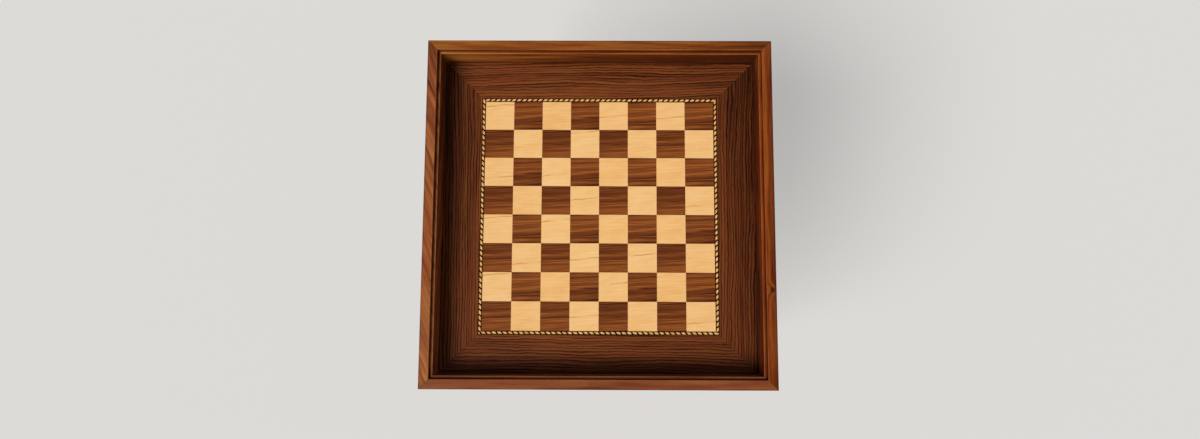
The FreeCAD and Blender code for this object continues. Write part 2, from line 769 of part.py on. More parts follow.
def cleat(side, quarter_turns):
    """A bar screwed to the wall, which carries the board. Wall screws go through it
    level, and board screws go up through it, each head in a counterbore."""
    body = new_body("cleat_" + side, quarter_turns)
    outline = plan_sketch(body, CLEAT_BOTTOM)
    rectangle(outline, (f"-{CLEAT_HALF}", f"-{WELL_HALF}"), (CLEAT_HALF, f"-{CLEAT_FACE}"))
    pad(body, outline, "dims.cleat_height")
    for diameter, depth in ((SCREW_HOLE, None), (HEAD_HOLE, "dims.head_sink")):
        wall_screws = front_sketch(body, CLEAT_FACE)
        for x in (f"-{CLEAT_SCREW}", "0", CLEAT_SCREW):
            circle(wall_screws, x, CLEAT_MIDDLE, diameter)
        pocket(body, wall_screws, depth, along_normal=True)
        board_screws = plan_sketch(body, CLEAT_BOTTOM)
        for x in (f"-{BOARD_SCREW}", BOARD_SCREW):
            circle(board_screws, x, f"-{CLEAT_CENTRE}", diameter)
        pocket(body, board_screws, depth, along_normal=True)


def screw(body, sketch, length):
    """A wood screw along the sketch's x axis, with a flat round head. The underside of
    its head is at 0 and its point at the given length."""
    shank = "dims.screw_diameter / 2"
    head = "dims.head_width / 2"
    return turned(body, sketch, [
        ("-dims.head_height", "0"),
        ("-dims.head_height", head),
        ("0", head),
        ("0", shank),
        (f"{length} - dims.screw_diameter", shank),
        (length, "0"),
    ])


def wall_screw_sketch(body, x, distance, height):
    """Level, with its x axis running to the front from Y = -distance."""
    turn = FreeCAD.Rotation(FreeCAD.Vector(0, 0, 1), -90)
    return new_sketch(body, "XY_Plane", turn, x=x, y=f"-({distance})", z=height)


def cleat_screws():
    body = new_body("cleat_screws")
    seat = f"({CLEAT_FACE} + dims.head_sink)"
    sketch = wall_screw_sketch(body, f"-{CLEAT_SCREW}", seat, CLEAT_MIDDLE)
    one = screw(body, sketch, f"({WELL_HALF} - {seat} + {RAIL_BITE})")
    repeated_on_sides(body, one, ("X_Axis", f"2 * {CLEAT_SCREW}", 3))


def block_screws():
    body = new_body("block_screws")
    seat = f"({WELL_HALF} - dims.block_screw_grip)"
    sketch = wall_screw_sketch(body, f"-{BLOCK_SCREW}", seat, BLOCK_SCREW_LOW)
    one = screw(body, sketch, f"(dims.block_screw_grip + {RAIL_BITE})")
    rise = f"{BLOCK_SCREW_HIGH} - {BLOCK_SCREW_LOW}"
    repeated_on_sides(body, one, ("X_Axis", f"2 * {BLOCK_SCREW}", 2), ("Z_Axis", rise, 2))


def board_screws():
    body = new_body("board_screws")
    seat = f"({CLEAT_BOTTOM} + dims.head_sink)"
    turn = FreeCAD.Rotation(FreeCAD.Vector(0, 0, 1), 90)
    sketch = new_sketch(
        body, "XZ_Plane", turn, x=f"-{BOARD_SCREW}", y=seat, z=CLEAT_CENTRE)
    one = screw(body, sketch, f"({CORE_BOTTOM} + {CORE_BITE} - {seat})")
    repeated_on_sides(body, one, ("X_Axis", f"2 * {BOARD_SCREW}", 2))


# ---- the levelling feet -----------------------------------------------------------


def foot_inserts():
    """A brass threaded insert in the end of each leg."""
    body = new_body("foot_inserts")
    centre = f"-{FOOT_CENTRE}"
    sketch = plan_sketch(body, LEG_BOTTOM)
    circle(sketch, centre, centre, INSERT_WIDTH)
    circle(sketch, centre, centre, "(dims.stem_diameter + 2 * dims.thread_gap)")
    repeated_round(body, pad(body, sketch, "dims.insert_length"))


def foot_stem(corner, quarter_turns):
    """The steel part of a levelling foot: a stem that screws into the leg, a hexagon,
    and a root that is moulded into the pad."""
    body = new_body("foot_stem_" + corner, quarter_turns)
    centre = f"-{FOOT_CENTRE}"
    collar = plan_sketch(body, "dims.pad_height")
    hexagon(collar, centre, centre, "dims.collar_flats")
    pad(body, collar, "dims.collar_height")
    stem = plan_sketch(body, f"dims.pad_height - dims.stem_root")
    circle(stem, centre, centre, "dims.stem_diameter")
    pad(body, stem, "dims.stem_root + dims.collar_height + dims.stem_length")


def foot_pad(corner, quarter_turns):
    """The nylon pad of a levelling foot, moulded round the root of the stem."""
    body = new_body("foot_pad_" + corner, quarter_turns)
    centre = f"-{FOOT_CENTRE}"
    outline = plan_sketch(body, "0")
    circle(outline, centre, centre, "dims.pad_width")
    disc = pad(body, outline, "dims.pad_height")
    rims = [
        f"Edge{index}"
        for index, edge in enumerate(disc.Shape.Edges, start=1)
        if edge.Curve.TypeId == "Part::GeomCircle"
    ]
    bevel = body.newObject("PartDesign::Chamfer", body.Name + "_bevel")
    bevel.Base = (disc, rims)
    bevel.setExpression("Size", "dims.pad_bevel")
    doc.recompute()
    root = plan_sketch(body, "dims.pad_height")
    circle(root, centre, centre, "dims.stem_diameter")
    pocket(body, root, "dims.stem_root")


# ---- the whole table --------------------------------------------------------------


def build():
    fill_sheet()
    for quarter_turns, side in enumerate(SIDES):
        rail(side, quarter_turns)
        border(side, quarter_turns)
        cleat(side, quarter_turns)
    for quarter_turns, corner in enumerate(CORNERS):
        leg(corner, quarter_turns)
        corner_block(corner, quarter_turns)
        foot_stem(corner, quarter_turns)
        foot_pad(corner, quarter_turns)
    mitre_tongues()
    hanger_bolts()
    bolt_washers()
    bolt_nuts()
    board_sheet("board_core", CORE_BOTTOM, "dims.core_thickness", f"{CORE_BITE} + dims.screw_gap")
    board_sheet("board_backing", BOARD_BOTTOM, "dims.backing_thickness", None)
    squares("squares_dark", (0, 1))
    squares("squares_light", (1, 0))
    banding_line("line_inner", FIELD_HALF)
    banding_line("line_outer", ROPE_OUTER)
    rope()
    cleat_screws()
    block_screws()
    board_screws()
    foot_inserts()


def check():
    doc.recompute()
    for item in doc.Objects:
        if "Invalid" in item.State or "Error" in item.State:
            raise RuntimeError(item.Label + " failed to build")
    for item in sub_parts:
        if item.Shape.isNull() or not item.Shape.isValid() or not item.Shape.Solids:
            raise RuntimeError(item.Label + " has no good solid")


def export():
    os.makedirs("parts", exist_ok=True)
    for item in sub_parts:
        item.Shape.exportStep(f"parts/{item.Label}.step")
        print(item.Label, "solids", len(item.Shape.Solids), "mm3", round(item.Shape.Volume))


build()
check()
export()
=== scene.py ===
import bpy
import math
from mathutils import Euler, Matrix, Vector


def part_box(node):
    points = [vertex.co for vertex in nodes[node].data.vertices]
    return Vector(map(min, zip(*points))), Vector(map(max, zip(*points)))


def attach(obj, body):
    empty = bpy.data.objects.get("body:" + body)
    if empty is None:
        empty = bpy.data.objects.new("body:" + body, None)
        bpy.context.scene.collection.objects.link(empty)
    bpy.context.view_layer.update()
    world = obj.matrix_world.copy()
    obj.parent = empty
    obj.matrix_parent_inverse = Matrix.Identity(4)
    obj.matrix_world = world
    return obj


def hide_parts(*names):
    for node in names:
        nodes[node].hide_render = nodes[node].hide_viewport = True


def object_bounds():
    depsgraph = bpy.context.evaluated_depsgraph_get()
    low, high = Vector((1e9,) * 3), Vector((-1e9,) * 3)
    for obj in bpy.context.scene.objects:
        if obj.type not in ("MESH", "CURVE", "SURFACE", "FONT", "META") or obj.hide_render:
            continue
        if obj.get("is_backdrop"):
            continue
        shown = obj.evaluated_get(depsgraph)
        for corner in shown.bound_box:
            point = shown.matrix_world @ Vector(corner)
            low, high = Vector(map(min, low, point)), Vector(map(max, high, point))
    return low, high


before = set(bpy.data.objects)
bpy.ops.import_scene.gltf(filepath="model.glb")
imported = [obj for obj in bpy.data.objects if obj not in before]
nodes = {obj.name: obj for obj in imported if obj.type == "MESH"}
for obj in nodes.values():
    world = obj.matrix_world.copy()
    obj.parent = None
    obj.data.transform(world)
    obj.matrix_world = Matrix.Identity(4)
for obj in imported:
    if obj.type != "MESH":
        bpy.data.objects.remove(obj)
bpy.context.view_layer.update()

# %% [markdown]
# # A chess table, dressed and lit
#
# The table comes in as a finished model: four mitred walnut walls, four tapered legs, and a
# board of sixty-four veneer squares inside a rope banding and a mitred border. Its wooden
# shapes are final, so most of this lesson is about finishes. Wood is not one colour. It has
# rings, pores and a direction, and each piece of it was cut from another place in the tree,
# so the work goes into saying where the grain of each piece runs and how wide its rings are.
# The last part models the small metal pieces again, with the recesses, bevels and threads
# that a plain solid leaves out.
#
# Everything is in metres, with the origin on the floor under the middle of the table, +Z up
# and +Y away from the player who sits at the front.

# %% [markdown]
# ## Sizes
#
# A pattern looks right only at its real size. The sizes that the finishes need are measured
# on the table itself, so they follow it if it ever changes: the side of one square, the
# height of the playing surface, and where the walls and their rim begin and end.

# %% Sizes from the table
MM = 0.001
ROWS = 8
CORNERS = ("front_left", "front_right", "back_right", "back_left")

field_low, field_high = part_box("squares_dark")
square = (field_high.x - field_low.x) / ROWS
board_top = field_high.z
rim_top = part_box("rail_front")[1].z
rim_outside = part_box("rail_right")[1].x
well_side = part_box("cleat_right")[1].x
print("square", round(square / MM, 2), "mm, board at", round(board_top / MM, 1), "mm")
print("well", round(2 * well_side / MM, 1), "mm, rim", round(2 * rim_outside / MM, 1), "mm")

# %% [markdown]
# ## Two helpers
#
# Colours are written the way a paint card gives them, as sRGB hex, and Blender wants them
# linear, so one function turns them. A material is a small graph of nodes, and one more
# function adds a node, sets its options and plugs in what feeds it. Every finish below is
# built from that one function. Some nodes have a socket for each kind of data, all with the
# same name, and only the live ones count.


# %% Colour and node helpers
def colour(code):
    """Linear RGBA from an sRGB hex code such as "#8A5021"."""
    channels = [int(code[i:i + 2], 16) / 255 for i in (1, 3, 5)]
    linear = [c / 12.92 if c <= 0.04045 else ((c + 0.055) / 1.055) ** 2.4 for c in channels]
    return (*linear, 1.0)


def add(tree, kind, inputs=None, stops=None, **options):
    """Add a node with its settings, and fill its live inputs, by name or by number.

    An input gets a plain value, a socket, or a whole node, which stands for its first live
    output. Stops are the (place, tone) pairs of a colour ramp, and a tone is a hex code or a
    grey from 0 to 1."""
    node = tree.nodes.new("ShaderNode" + kind)
    for name, value in options.items():
        setattr(node, name, value)
    for name, value in (inputs or {}).items():
        live = [s for s in node.inputs if s.enabled]
        socket = live[name] if isinstance(name, int) else next(s for s in live if s.name == name)
        if isinstance(value, bpy.types.Node):
            value = next(s for s in value.outputs if s.enabled)
        if isinstance(value, bpy.types.NodeSocket):
            tree.links.new(value, socket)
        else:
            socket.default_value = value
    if stops:
        keys = node.color_ramp.elements
        while len(keys) < len(stops):
            keys.new(0.5)
        for key, (place, tone) in zip(keys, stops):
            key.position = place
            key.color = colour(tone) if isinstance(tone, str) else (tone, tone, tone, 1.0)
    return node


def new_material(name):
    """An empty material and its node tree."""
    material = bpy.data.materials.new(name)
    material.use_nodes = True
    material.node_tree.nodes.clear()
    return material, material.node_tree


def wear(names, material):
    """Give pieces a material, and say so."""
    for name in names:
        nodes[name].data.materials.clear()
        nodes[name].data.materials.append(material)
    print(material.name, "on", len(names), "nodes")


print("a mid walnut is", [round(v, 3) for v in colour("#7E441D")[:3]])

# %% [markdown]
# ## How wood is drawn
#
# A plank is cut lengthways out of a tree, so everything in it is long and narrow: streaks
# of drifting colour, rings, and pores. Noise that is squeezed across the grain and drawn out
# along it gives streaks of any size, so one function takes a length and a width in
# millimetres. The noise is three dimensional, so a streak on top of a piece goes on down its
# side, as in real timber.
#
# The grain direction is set by a Mapping node, which turns the pattern so that its first
# axis lies along the piece, and moves it so that the middle of the tree, the pith, is at
# zero. A lean turns it a little further, for a plank that was sawn out of line with the tree.
# Trees aren't straight either, so a second function pushes the pattern to and fro.


# %% Grain
TURN = {"x": (0, 0, 0), "y": (0, 0, math.pi / 2), "z": (0, math.pi / 2, 0)}


def grain_space(tree, along, pith=(0.0, 0.0, 0.0), lean=0.0):
    """Coordinates in metres from the pith, whose first axis runs along the grain."""
    turned = Euler(TURN[along]).to_matrix() @ Euler((0, 0, lean)).to_matrix()
    return add(tree, "Mapping", {
        "Vector": add(tree, "TexCoord").outputs["Object"],
        "Rotation": turned.inverted().to_euler(),
        "Location": [-v for v in pith],
    }, vector_type="POINT")


def streaks(tree, space, length, width, detail=3.0):
    """Noise whose lumps are so long along the grain and so wide across it."""
    size = (1 / length, 1 / width, 1 / width)
    squeezed = add(tree, "Mapping", {"Vector": space, "Scale": size}, vector_type="POINT")
    settings = {"Vector": squeezed, "Scale": 1.0, "Detail": detail, "Roughness": 0.6}
    return add(tree, "TexNoise", settings)


def swayed(tree, space, length, width, amount):
    """Push the grain to and fro across itself, once in every length."""
    wander = streaks(tree, space, length, width, detail=1.0).outputs["Color"]
    centred = add(tree, "VectorMath", {0: wander, 1: (0.5, 0.5, 0.5)}, operation="SUBTRACT")
    return add(tree, "VectorMath", {0: centred, 1: (0, amount, amount), 2: space},
               operation="MULTIPLY_ADD")


def apart(tree, one, other):
    """How far apart two numbers are."""
    difference = add(tree, "Math", {0: one, 1: other}, operation="SUBTRACT")
    return add(tree, "Math", {0: difference}, operation="ABSOLUTE")


def tone_from(tree, start, parts):
    """One tone out of several patterns, each of which moves it both ways from the start."""
    middle = sum(amount for _, amount in parts) / 2
    tone = add(tree, "Math", {0: start, 1: middle}, operation="SUBTRACT")
    for pattern, amount in parts:
        tone = add(tree, "Math", {0: pattern, 1: amount, 2: tone}, operation="MULTIPLY_ADD")
    return tone


print("grain may run along", ", ".join(TURN))

# %% [markdown]
# ## Growth rings
#
# Each year adds a ring, pale and open in spring and dark and dense at its end. A wave texture
# would draw evenly spaced rings, which look like corduroy. Here the distance from the pith is
# counted in rings instead: the whole part of the count is the year, and gives each ring a
# tone of its own, and the rest says how late in the year it is, and draws the dark line. A
# slow swell in the count makes good years wide and bad years narrow, and the dark line
# comes and goes along the grain.

# %% Rings
FIRST_YEAR = 50.0
# how long each pattern is, and how many rings wide
SWELL_LENGTH, SWELL_RINGS = 600 * MM, 5
DARK_LINE_LENGTH, DARK_LINE_RINGS = 90 * MM, 2


def growth_rings(tree, space, pitch, uneven):
    """The tone of each ring, and how close each point is to its ring's dark end."""
    flat = add(tree, "VectorMath", {0: space, 1: (0, 1, 1)}, operation="MULTIPLY")
    radius = add(tree, "VectorMath", {0: flat}, operation="LENGTH")
    swell = streaks(tree, space, SWELL_LENGTH, SWELL_RINGS * pitch, detail=2.0)
    count = add(tree, "Math", {0: radius, 1: 1 / pitch, 2: FIRST_YEAR}, operation="MULTIPLY_ADD")
    count = add(tree, "Math", {0: swell, 1: uneven, 2: count}, operation="MULTIPLY_ADD")
    year = add(tree, "Math", {0: count}, operation="FLOOR")
    season = add(tree, "Math", {0: count}, operation="FRACT")
    own = add(tree, "TexWhiteNoise", {"W": year}, noise_dimensions="1D")
    late = add(tree, "MapRange", {"Value": season, "From Min": 0.5, "From Max": 0.9},
               interpolation_type="SMOOTHSTEP")
    patchy = add(tree, "MapRange", {
        "Value": streaks(tree, space, DARK_LINE_LENGTH, DARK_LINE_RINGS * pitch, detail=1.0),
        "From Min": 0.35, "From Max": 0.6, "To Min": 0.5,
    })
    return own, add(tree, "Math", {0: late, 1: patchy}, operation="MULTIPLY")


print("good years swell over", round(SWELL_LENGTH / MM), "mm of a plank")

# %% [markdown]
# ## Satin lacquer
#
# The whole table is under a clear lacquer, sprayed and rubbed down to a satin. What shines is
# that film, so the shine goes on the shader's coat. The wood under it has lacquer on it, and
# not air, so by itself it hardly shines, and its specular level is near zero. Left at the
# usual level it lays a grey haze over dark wood. The pores aren't quite filled, so a very
# shallow bump follows them.

# %% Lacquered wood
SATIN = 0.16


def lacquered(tree, base, pores):
    """End a material as wood under satin lacquer: to the eye, deep and only faintly shiny."""
    bump = add(tree, "Bump", {"Height": pores, "Strength": 0.15, "Distance": 0.1 * MM})
    shader = add(tree, "BsdfPrincipled", {
        "Base Color": base,
        "Roughness": 0.45,
        "IOR": 1.5,
        "Specular IOR Level": 0.04,
        "Coat Weight": 0.5,
        "Coat Roughness": SATIN,
        "Normal": bump,
    })
    add(tree, "OutputMaterial", {"Surface": shader})


print("satin is a coat roughness of", SATIN)

# %% [markdown]
# ## Where a point is on the table
#
# Some finishes change from place to place: at an edge, at a mitre, or from the rope out to
# the wall. Every side of the table has the same section, so what counts is how far out a
# point is, square to the nearest side, and how high it is. Where a point is as far out along
# X as along Y, it lies on a diagonal of the table, and that is where the mitres are.


# %% Places
def place_of(tree):
    """The X, Y and Z of a point, in metres."""
    return add(tree, "SeparateXYZ", {"Vector": add(tree, "TexCoord").outputs["Object"]}).outputs


def off_middle(tree):
    """How far a point is from the middle of the table, along X and along Y."""
    place = place_of(tree)
    return [add(tree, "Math", {0: place[axis]}, operation="ABSOLUTE") for axis in "XY"]


def how_far_out(tree):
    """How far out a point is, square to the nearest side of the table."""
    along_x, along_y = off_middle(tree)
    return add(tree, "Math", {0: along_x, 1: along_y}, operation="MAXIMUM")


def gradual(tree, tone, place, start, end, first, last):
    """Change a tone little by little, by a first amount at the start and a last at the end."""
    shift = add(tree, "MapRange", {
        "Value": place, "From Min": start, "From Max": end, "To Min": first, "To Max": last,
    })
    return add(tree, "Math", {0: tone, 1: shift}, operation="ADD")


def nearness(tree, point, place, reach, easing="LINEAR"):
    """1 for a point at a place, falling to 0 at a reach from it."""
    away = add(tree, "VectorMath", {0: point, 1: place}, operation="DISTANCE")
    return add(tree, "MapRange", {
        "Value": away, "From Min": 0.0, "From Max": reach, "To Min": 1.0, "To Max": 0.0,
    }, interpolation_type=easing)


print("the walls begin", round(well_side / MM, 1), "mm out and end", round(rim_outside / MM, 1))

# %% [markdown]
# ## Edges, mitres and knots
#
# The inner arrises of the rim and of its step get a painted highlight, and the outer arris
# of the rim, the corner of the step and the foot of the wall get painted shade. The inner face
# is painted a little darker than the rim, as painted shade. The table below gives each edge's
# place in the section of a wall, how far its tone reaches, and how much it changes.
#
# Where two walls or two borders meet in a mitre, the glue line is a dark hairline. It is
# 0.1 mm wide in real life and drawn a little wider.

# %% Edges and mitres
STEP_WIDTH = 5.4 * MM
STEP_DEPTH = 7.5 * MM
# painted shade: the inner face of each wall is made darker than the rim
INNER_FACE_PAINTED_SHADE = 0.16
INNER_FACE_FADES = (0.1 * MM, 0.6 * MM)
GLUE_LINE = 0.45 * MM
GLUE_STRENGTH = 0.7
# a rise in tone is a painted highlight on an arris, a fall is painted shade on an edge or in a
# corner
PAINTED_EDGE_SHADING = (
    # out, height, reach and change in tone
    (rim_outside, rim_top, 2.6 * MM, -0.35),
    (well_side + STEP_WIDTH, rim_top, 1.5 * MM, 0.25),
    (well_side + STEP_WIDTH, rim_top - STEP_DEPTH, 2.2 * MM, -0.5),
    (well_side, rim_top - STEP_DEPTH, 1.8 * MM, 0.45),
    (well_side, board_top, 4.0 * MM, -0.3),
)


def painted_edge_light_and_shade(tree, tone):
    """Paint a highlight on the inner arrises, and shade on the other edges in the table and on
    the inner face.
    """
    way_out = how_far_out(tree)
    section = add(tree, "CombineXYZ", {"X": way_out, "Y": place_of(tree)["Z"]})
    for out, height, reach, change in PAINTED_EDGE_SHADING:
        mask = nearness(tree, section, (out, height, 0), reach)
        tone = add(tree, "Math", {0: mask, 1: change, 2: tone}, operation="MULTIPLY_ADD")
    start, end = (well_side + depth for depth in INNER_FACE_FADES)
    return gradual(tree, tone, way_out, start, end, -INNER_FACE_PAINTED_SHADE, 0.0)


def mitre_line(tree):
    """How much glue shows: some on the diagonals of the table, and none away from them."""
    return add(tree, "MapRange", {
        "Value": apart(tree, *off_middle(tree)), "From Min": 0.0, "From Max": GLUE_LINE,
        "To Min": GLUE_STRENGTH, "To Max": 0.0,
    })


print(len(PAINTED_EDGE_SHADING), "edges have a tone of their own")

# %% [markdown]
# A knot is what is left of a branch. The grain parts to go round it, and its heart is dark.
#
# A plank that was sawn out of line with the tree has its layers at a tilt. They run right
# through it, and show on each face as slanting bands. The pattern is drawn in such layers by
# turning it by the tilt, and squeezing it one way and widening it the other.

# %% Knots and tilted layers
KNOT_REACH = 18 * MM
KNOT_HEART = 7 * MM
KNOT_PUSH = 9 * MM
KNOT_DARKER = 0.4
LAYER_WIDTH = 4.0
LAYER_THICKNESS = 0.5


def knotted(tree, space, place):
    """Push the grain round a small knot. Gives the grain, and 1 in the knot's middle."""
    point = add(tree, "TexCoord").outputs["Object"]
    bulge, heart = (nearness(tree, point, place, reach, "SMOOTHSTEP")
                    for reach in (KNOT_REACH, KNOT_HEART))
    aside = add(tree, "Math", {0: bulge, 1: KNOT_PUSH}, operation="MULTIPLY")
    push = add(tree, "CombineXYZ", {"Y": aside})
    return add(tree, "VectorMath", {0: space, 1: push}, operation="ADD"), heart


def layered(tree, space, tilt):
    """Squeeze the pattern into tilted layers, thin across and wide the other way."""
    return add(tree, "Mapping", {
        "Vector": space, "Rotation": (tilt, 0, 0), "Scale": (1, LAYER_WIDTH, LAYER_THICKNESS),
    }, vector_type="TEXTURE")


print("a knot bends the grain for", round(KNOT_REACH / MM), "mm round it")

# %% [markdown]
# ## Solid walnut
#
# The walls and legs are solid American black walnut, planed and lacquered. It gives the eye a
# warm brown with slow streaks from chocolate to honey, rings some millimetres apart, and
# pores: dark scratches half a millimetre wide and up to a centimetre long. The pores of real
# walnut are finer, 0.2 mm, and are drawn coarser here so that they show.
#
# All of these are patterns of one number, the tone, and a colour ramp turns the tone into the
# wood's own browns. Walnut isn't one hue either, so a last pattern turns the brown a little
# towards red here and towards yellow there.

# %% Walnut's patterns and browns
# each pattern's length along the grain and its width across it
SWAY = (220 * MM, 45 * MM)
SMALL_SWAY = (60 * MM, 14 * MM)
RIPPLE = (20 * MM, 10 * MM)
DRIFT = (420 * MM, 26 * MM)
FLAME = (110 * MM, 9 * MM)
FINE = (200 * MM, 2.2 * MM)
PORES = (9 * MM, 0.5 * MM)
HUES = (70 * MM, 4 * MM)
SMALL_SWAY_SHARE = 0.2
HUE_DRIFT = 0.007
PORE_SHADE = 0.35
BROWNS_AT = (0.22, 0.5, 0.76)


def browns(tree, tone, tones, bent, pores):
    """Walnut's colour: a brown for each tone, a drift of hue, and the dark of the pores."""
    base = add(tree, "ValToRGB", {"Fac": tone}, stops=list(zip(BROWNS_AT, tones)))
    hue = add(tree, "MapRange", {
        "Value": streaks(tree, bent, *HUES, detail=1.0),
        "From Min": 0.3, "From Max": 0.7, "To Min": 0.5 - HUE_DRIFT, "To Max": 0.5 + HUE_DRIFT,
    })
    base = add(tree, "HueSaturation", {"Hue": hue, "Color": base})
    pitted = add(tree, "MapRange", {
        "Value": pores, "From Min": 0.33, "From Max": 0.45, "To Min": PORE_SHADE, "To Max": 0.0,
    })
    return add(tree, "Mix", {"Factor": pitted, "A": base, "B": colour("#2A130A")},
               data_type="RGBA")


print("a pore is", round(PORES[0] / MM), "mm long and", round(PORES[1] / MM, 1), "mm wide")

# %% [markdown]
# So a piece of walnut is described by the way its grain runs, by its browns, by where its
# pith lay, and by how much each pattern counts. Solid walls and veneers are made by the same
# function, and only their numbers differ. One number paints shade on the border, darker
# towards the walls, and another paints a gradient of light along a piece, from its one end to
# its other.

# %% Walnut
PAINTED_SHADE_STARTS = 4.3 * square


def walnut(name, along, tones, pith, lean=0.0, ring=9 * MM, sway=9 * MM, drift=0.8,
           flame=0.6, fine=0.4, rings=0.12, late=0.14, uneven=3.0, outward=0.0, painted_light_drift=0.0,
           ripple=0.0, knot=None, tilt=None, mitred=True, walls=False):
    """Walnut, solid or veneer, in three browns from dark to light.

    Ring is the mean width of a ring, and sway and ripple are how far the grain wanders, in
    metres. Drift, flame, fine, rings and late are how much each pattern counts, and uneven is
    how much the width of the rings changes. Outward is painted shade, how much darker the tone
    gets towards the wall, and the number after it is a painted gradient of light, how much the
    tone changes from one end to the other."""
    material, tree = new_material(name)
    space = grain_space(tree, along, pith, lean)
    if tilt is not None:
        space = layered(tree, space, tilt)
    bent = swayed(tree, space, *SWAY, sway)
    bent = swayed(tree, bent, *SMALL_SWAY, sway * SMALL_SWAY_SHARE)
    if ripple:
        bent = swayed(tree, bent, *RIPPLE, ripple)
    if knot:
        bent, heart = knotted(tree, bent, knot)
    own, ending = growth_rings(tree, bent, ring, uneven)
    pores = streaks(tree, space, *PORES, detail=2.0)
    tone = tone_from(tree, 0.5, [
        (streaks(tree, bent, *DRIFT, detail=2.0), drift),
        (streaks(tree, bent, *FLAME, detail=2.0), flame),
        (streaks(tree, bent, *FINE, detail=3.0), fine),
        (own, rings),
        (ending, -late),
    ])
    if knot:
        tone = add(tree, "Math", {0: heart, 1: -KNOT_DARKER, 2: tone}, operation="MULTIPLY_ADD")
    # painted highlights and painted shade along the edges of a wall
    if walls:
        tone = painted_edge_light_and_shade(tree, tone)
    # painted shade: the border darkens from here out to the wall, where the walls' shadow falls
    if outward:
        tone = gradual(tree, tone, how_far_out(tree), PAINTED_SHADE_STARTS, well_side, 0.0, outward)
    # painted light: the tone changes from one end of the piece to the other, as the light falls
    # off across the table
    if painted_light_drift:
        tone = gradual(tree, tone, place_of(tree)[along.upper()], -rim_outside, rim_outside,
                       -painted_light_drift, painted_light_drift)
    base = browns(tree, tone, tones, bent, pores)
    if mitred:
        base = add(tree, "Mix", {"Factor": mitre_line(tree), "A": base, "B": colour("#1C0B05")},
                   data_type="RGBA")
    lacquered(tree, base, pores)
    return material


print("the border is even up to", round(PAINTED_SHADE_STARTS / MM), "mm out")

# %% [markdown]
# The four walls came from different planks. The back one is honey coloured, and a painted
# gradient of light makes it brighter at the left and darker to the right. The right one is
# redder with a small knot near the front, the front one is plain, and the left one was sawn
# out of line, so its layers are tilted and dark streaks cross its top edge at a slant; a
# painted gradient of light makes it a little brighter at the front. The pith says which way
# the rings cross the edge. With the pith far below they lie flat and the edge looks plain,
# and with the pith beside it they stand up and draw lines.

# %% Rails
KNOT = (0.291, -0.132, rim_top)
RAIL_PLANKS = {
    "front": dict(along="x", tones=("#4E210D", "#804224", "#965831"), pith=(0.1, -0.30, 0.50),
                  drift=0.5, flame=0.6, rings=0.1, late=0.08),
    "right": dict(along="y", tones=("#3B1406", "#70300E", "#984E1B"), pith=(1.45, -0.40, 0.60),
                  lean=0.02, drift=0.9, flame=0.8, painted_light_drift=0.01, knot=KNOT),
    "back": dict(along="x", tones=("#4B2008", "#824216", "#A96728"), pith=(1.7, 0.42, 0.68),
                 drift=1.1, fine=0.3, rings=0.06, late=0.06, painted_light_drift=-0.3),
    "left": dict(along="y", tones=("#4D210F", "#8E4C27", "#B4703B"), pith=(3.5, 0.341, 0.61),
                 lean=0.38, ring=15 * MM, sway=22 * MM, painted_light_drift=-0.11, tilt=math.radians(30)),
}
for side, plank in RAIL_PLANKS.items():
    wear(["rail_" + side], walnut("walnut_rail_" + side, walls=True, **plank))

# %% [markdown]
# The legs are the same walnut, with the grain running down them. Each has its pith outside
# its own outer corner, as when four legs are cut from one thick plank with its heart thrown
# away.

# %% Legs
LEG_TONES = ("#4B220E", "#7D421E", "#9B5C30")
CUT_APART = 0.4
PITH_FURTHER_OUT = 1.2
for number, corner in enumerate(CORNERS):
    low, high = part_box("leg_" + corner)
    pith_x, pith_y, _ = (low + high) / 2 * PITH_FURTHER_OUT
    pith = (CUT_APART * number, pith_y, pith_x)
    wear(["leg_" + corner], walnut("walnut_leg_" + corner, "z", LEG_TONES, pith, ring=7 * MM,
                                   mitred=False))

# %% [markdown]
# ## Border veneer
#
# The border round the board is quarter-sawn walnut veneer: cut from the middle of the tree
# outwards, so its rings show edge on, as straight narrow stripes about five millimetres
# apart. It is the darkest wood on the table, and painted shade darkens it a little more from
# the rope out to the wall. The right border has darker browns as well, which are painted
# shade too. The pith is put far to one side, which makes the rings nearly parallel, and a
# wide slow sway and a small ripple keep them from looking ruled.

# %% Border
BORDER_TONES = ("#280E04", "#592910", "#834620")
# the right border's browns are darker, as painted shade
RIGHT_BORDER_SHADED_TONES = ("#210A03", "#52250D", "#783E1B")
BORDER_PITH = {"x": (0.7, -1.35, 0.6), "y": (1.9, -1.22, 0.6)}
BORDER_LEAVES = {
    # the way the grain runs, its lean, how much painted shade darkens it towards the wall, how
    # much a painted gradient of light changes it from end to end, its browns
    "front": ("x", -0.012, -0.15, 0.0, BORDER_TONES),
    "right": ("y", -0.02, -0.27, -0.09, RIGHT_BORDER_SHADED_TONES),
    "back": ("x", 0.02, -0.06, -0.08, BORDER_TONES),
    "left": ("y", 0.015, -0.14, -0.065, BORDER_TONES),
}
for side, (along, lean, outward, painted_light_drift, tones) in BORDER_LEAVES.items():
    wear(["border_" + side], walnut(
        "walnut_border_" + side, along, tones, BORDER_PITH[along], lean=lean, ring=5 * MM,
        sway=15 * MM, uneven=2.4, outward=outward, painted_light_drift=painted_light_drift, ripple=3 * MM,
        drift=0.25, flame=0.15, fine=0.6, rings=0.16, late=0.42))

# %% [markdown]
# ## Squares
#
# The board is built the old way: strips of light and dark veneer are taped side by side, cut
# across into rows, and every other row is shifted by one. So the squares of a row come from
# the same leaf of veneer and look nearly alike, and rows take turns between two leaves.
#
# All thirty-two dark squares are one piece here, so the pattern has to know which square a
# point is on. The position is divided by the side of a square. The whole part then counts
# squares and the rest is the place inside the square, from 0 to 1.


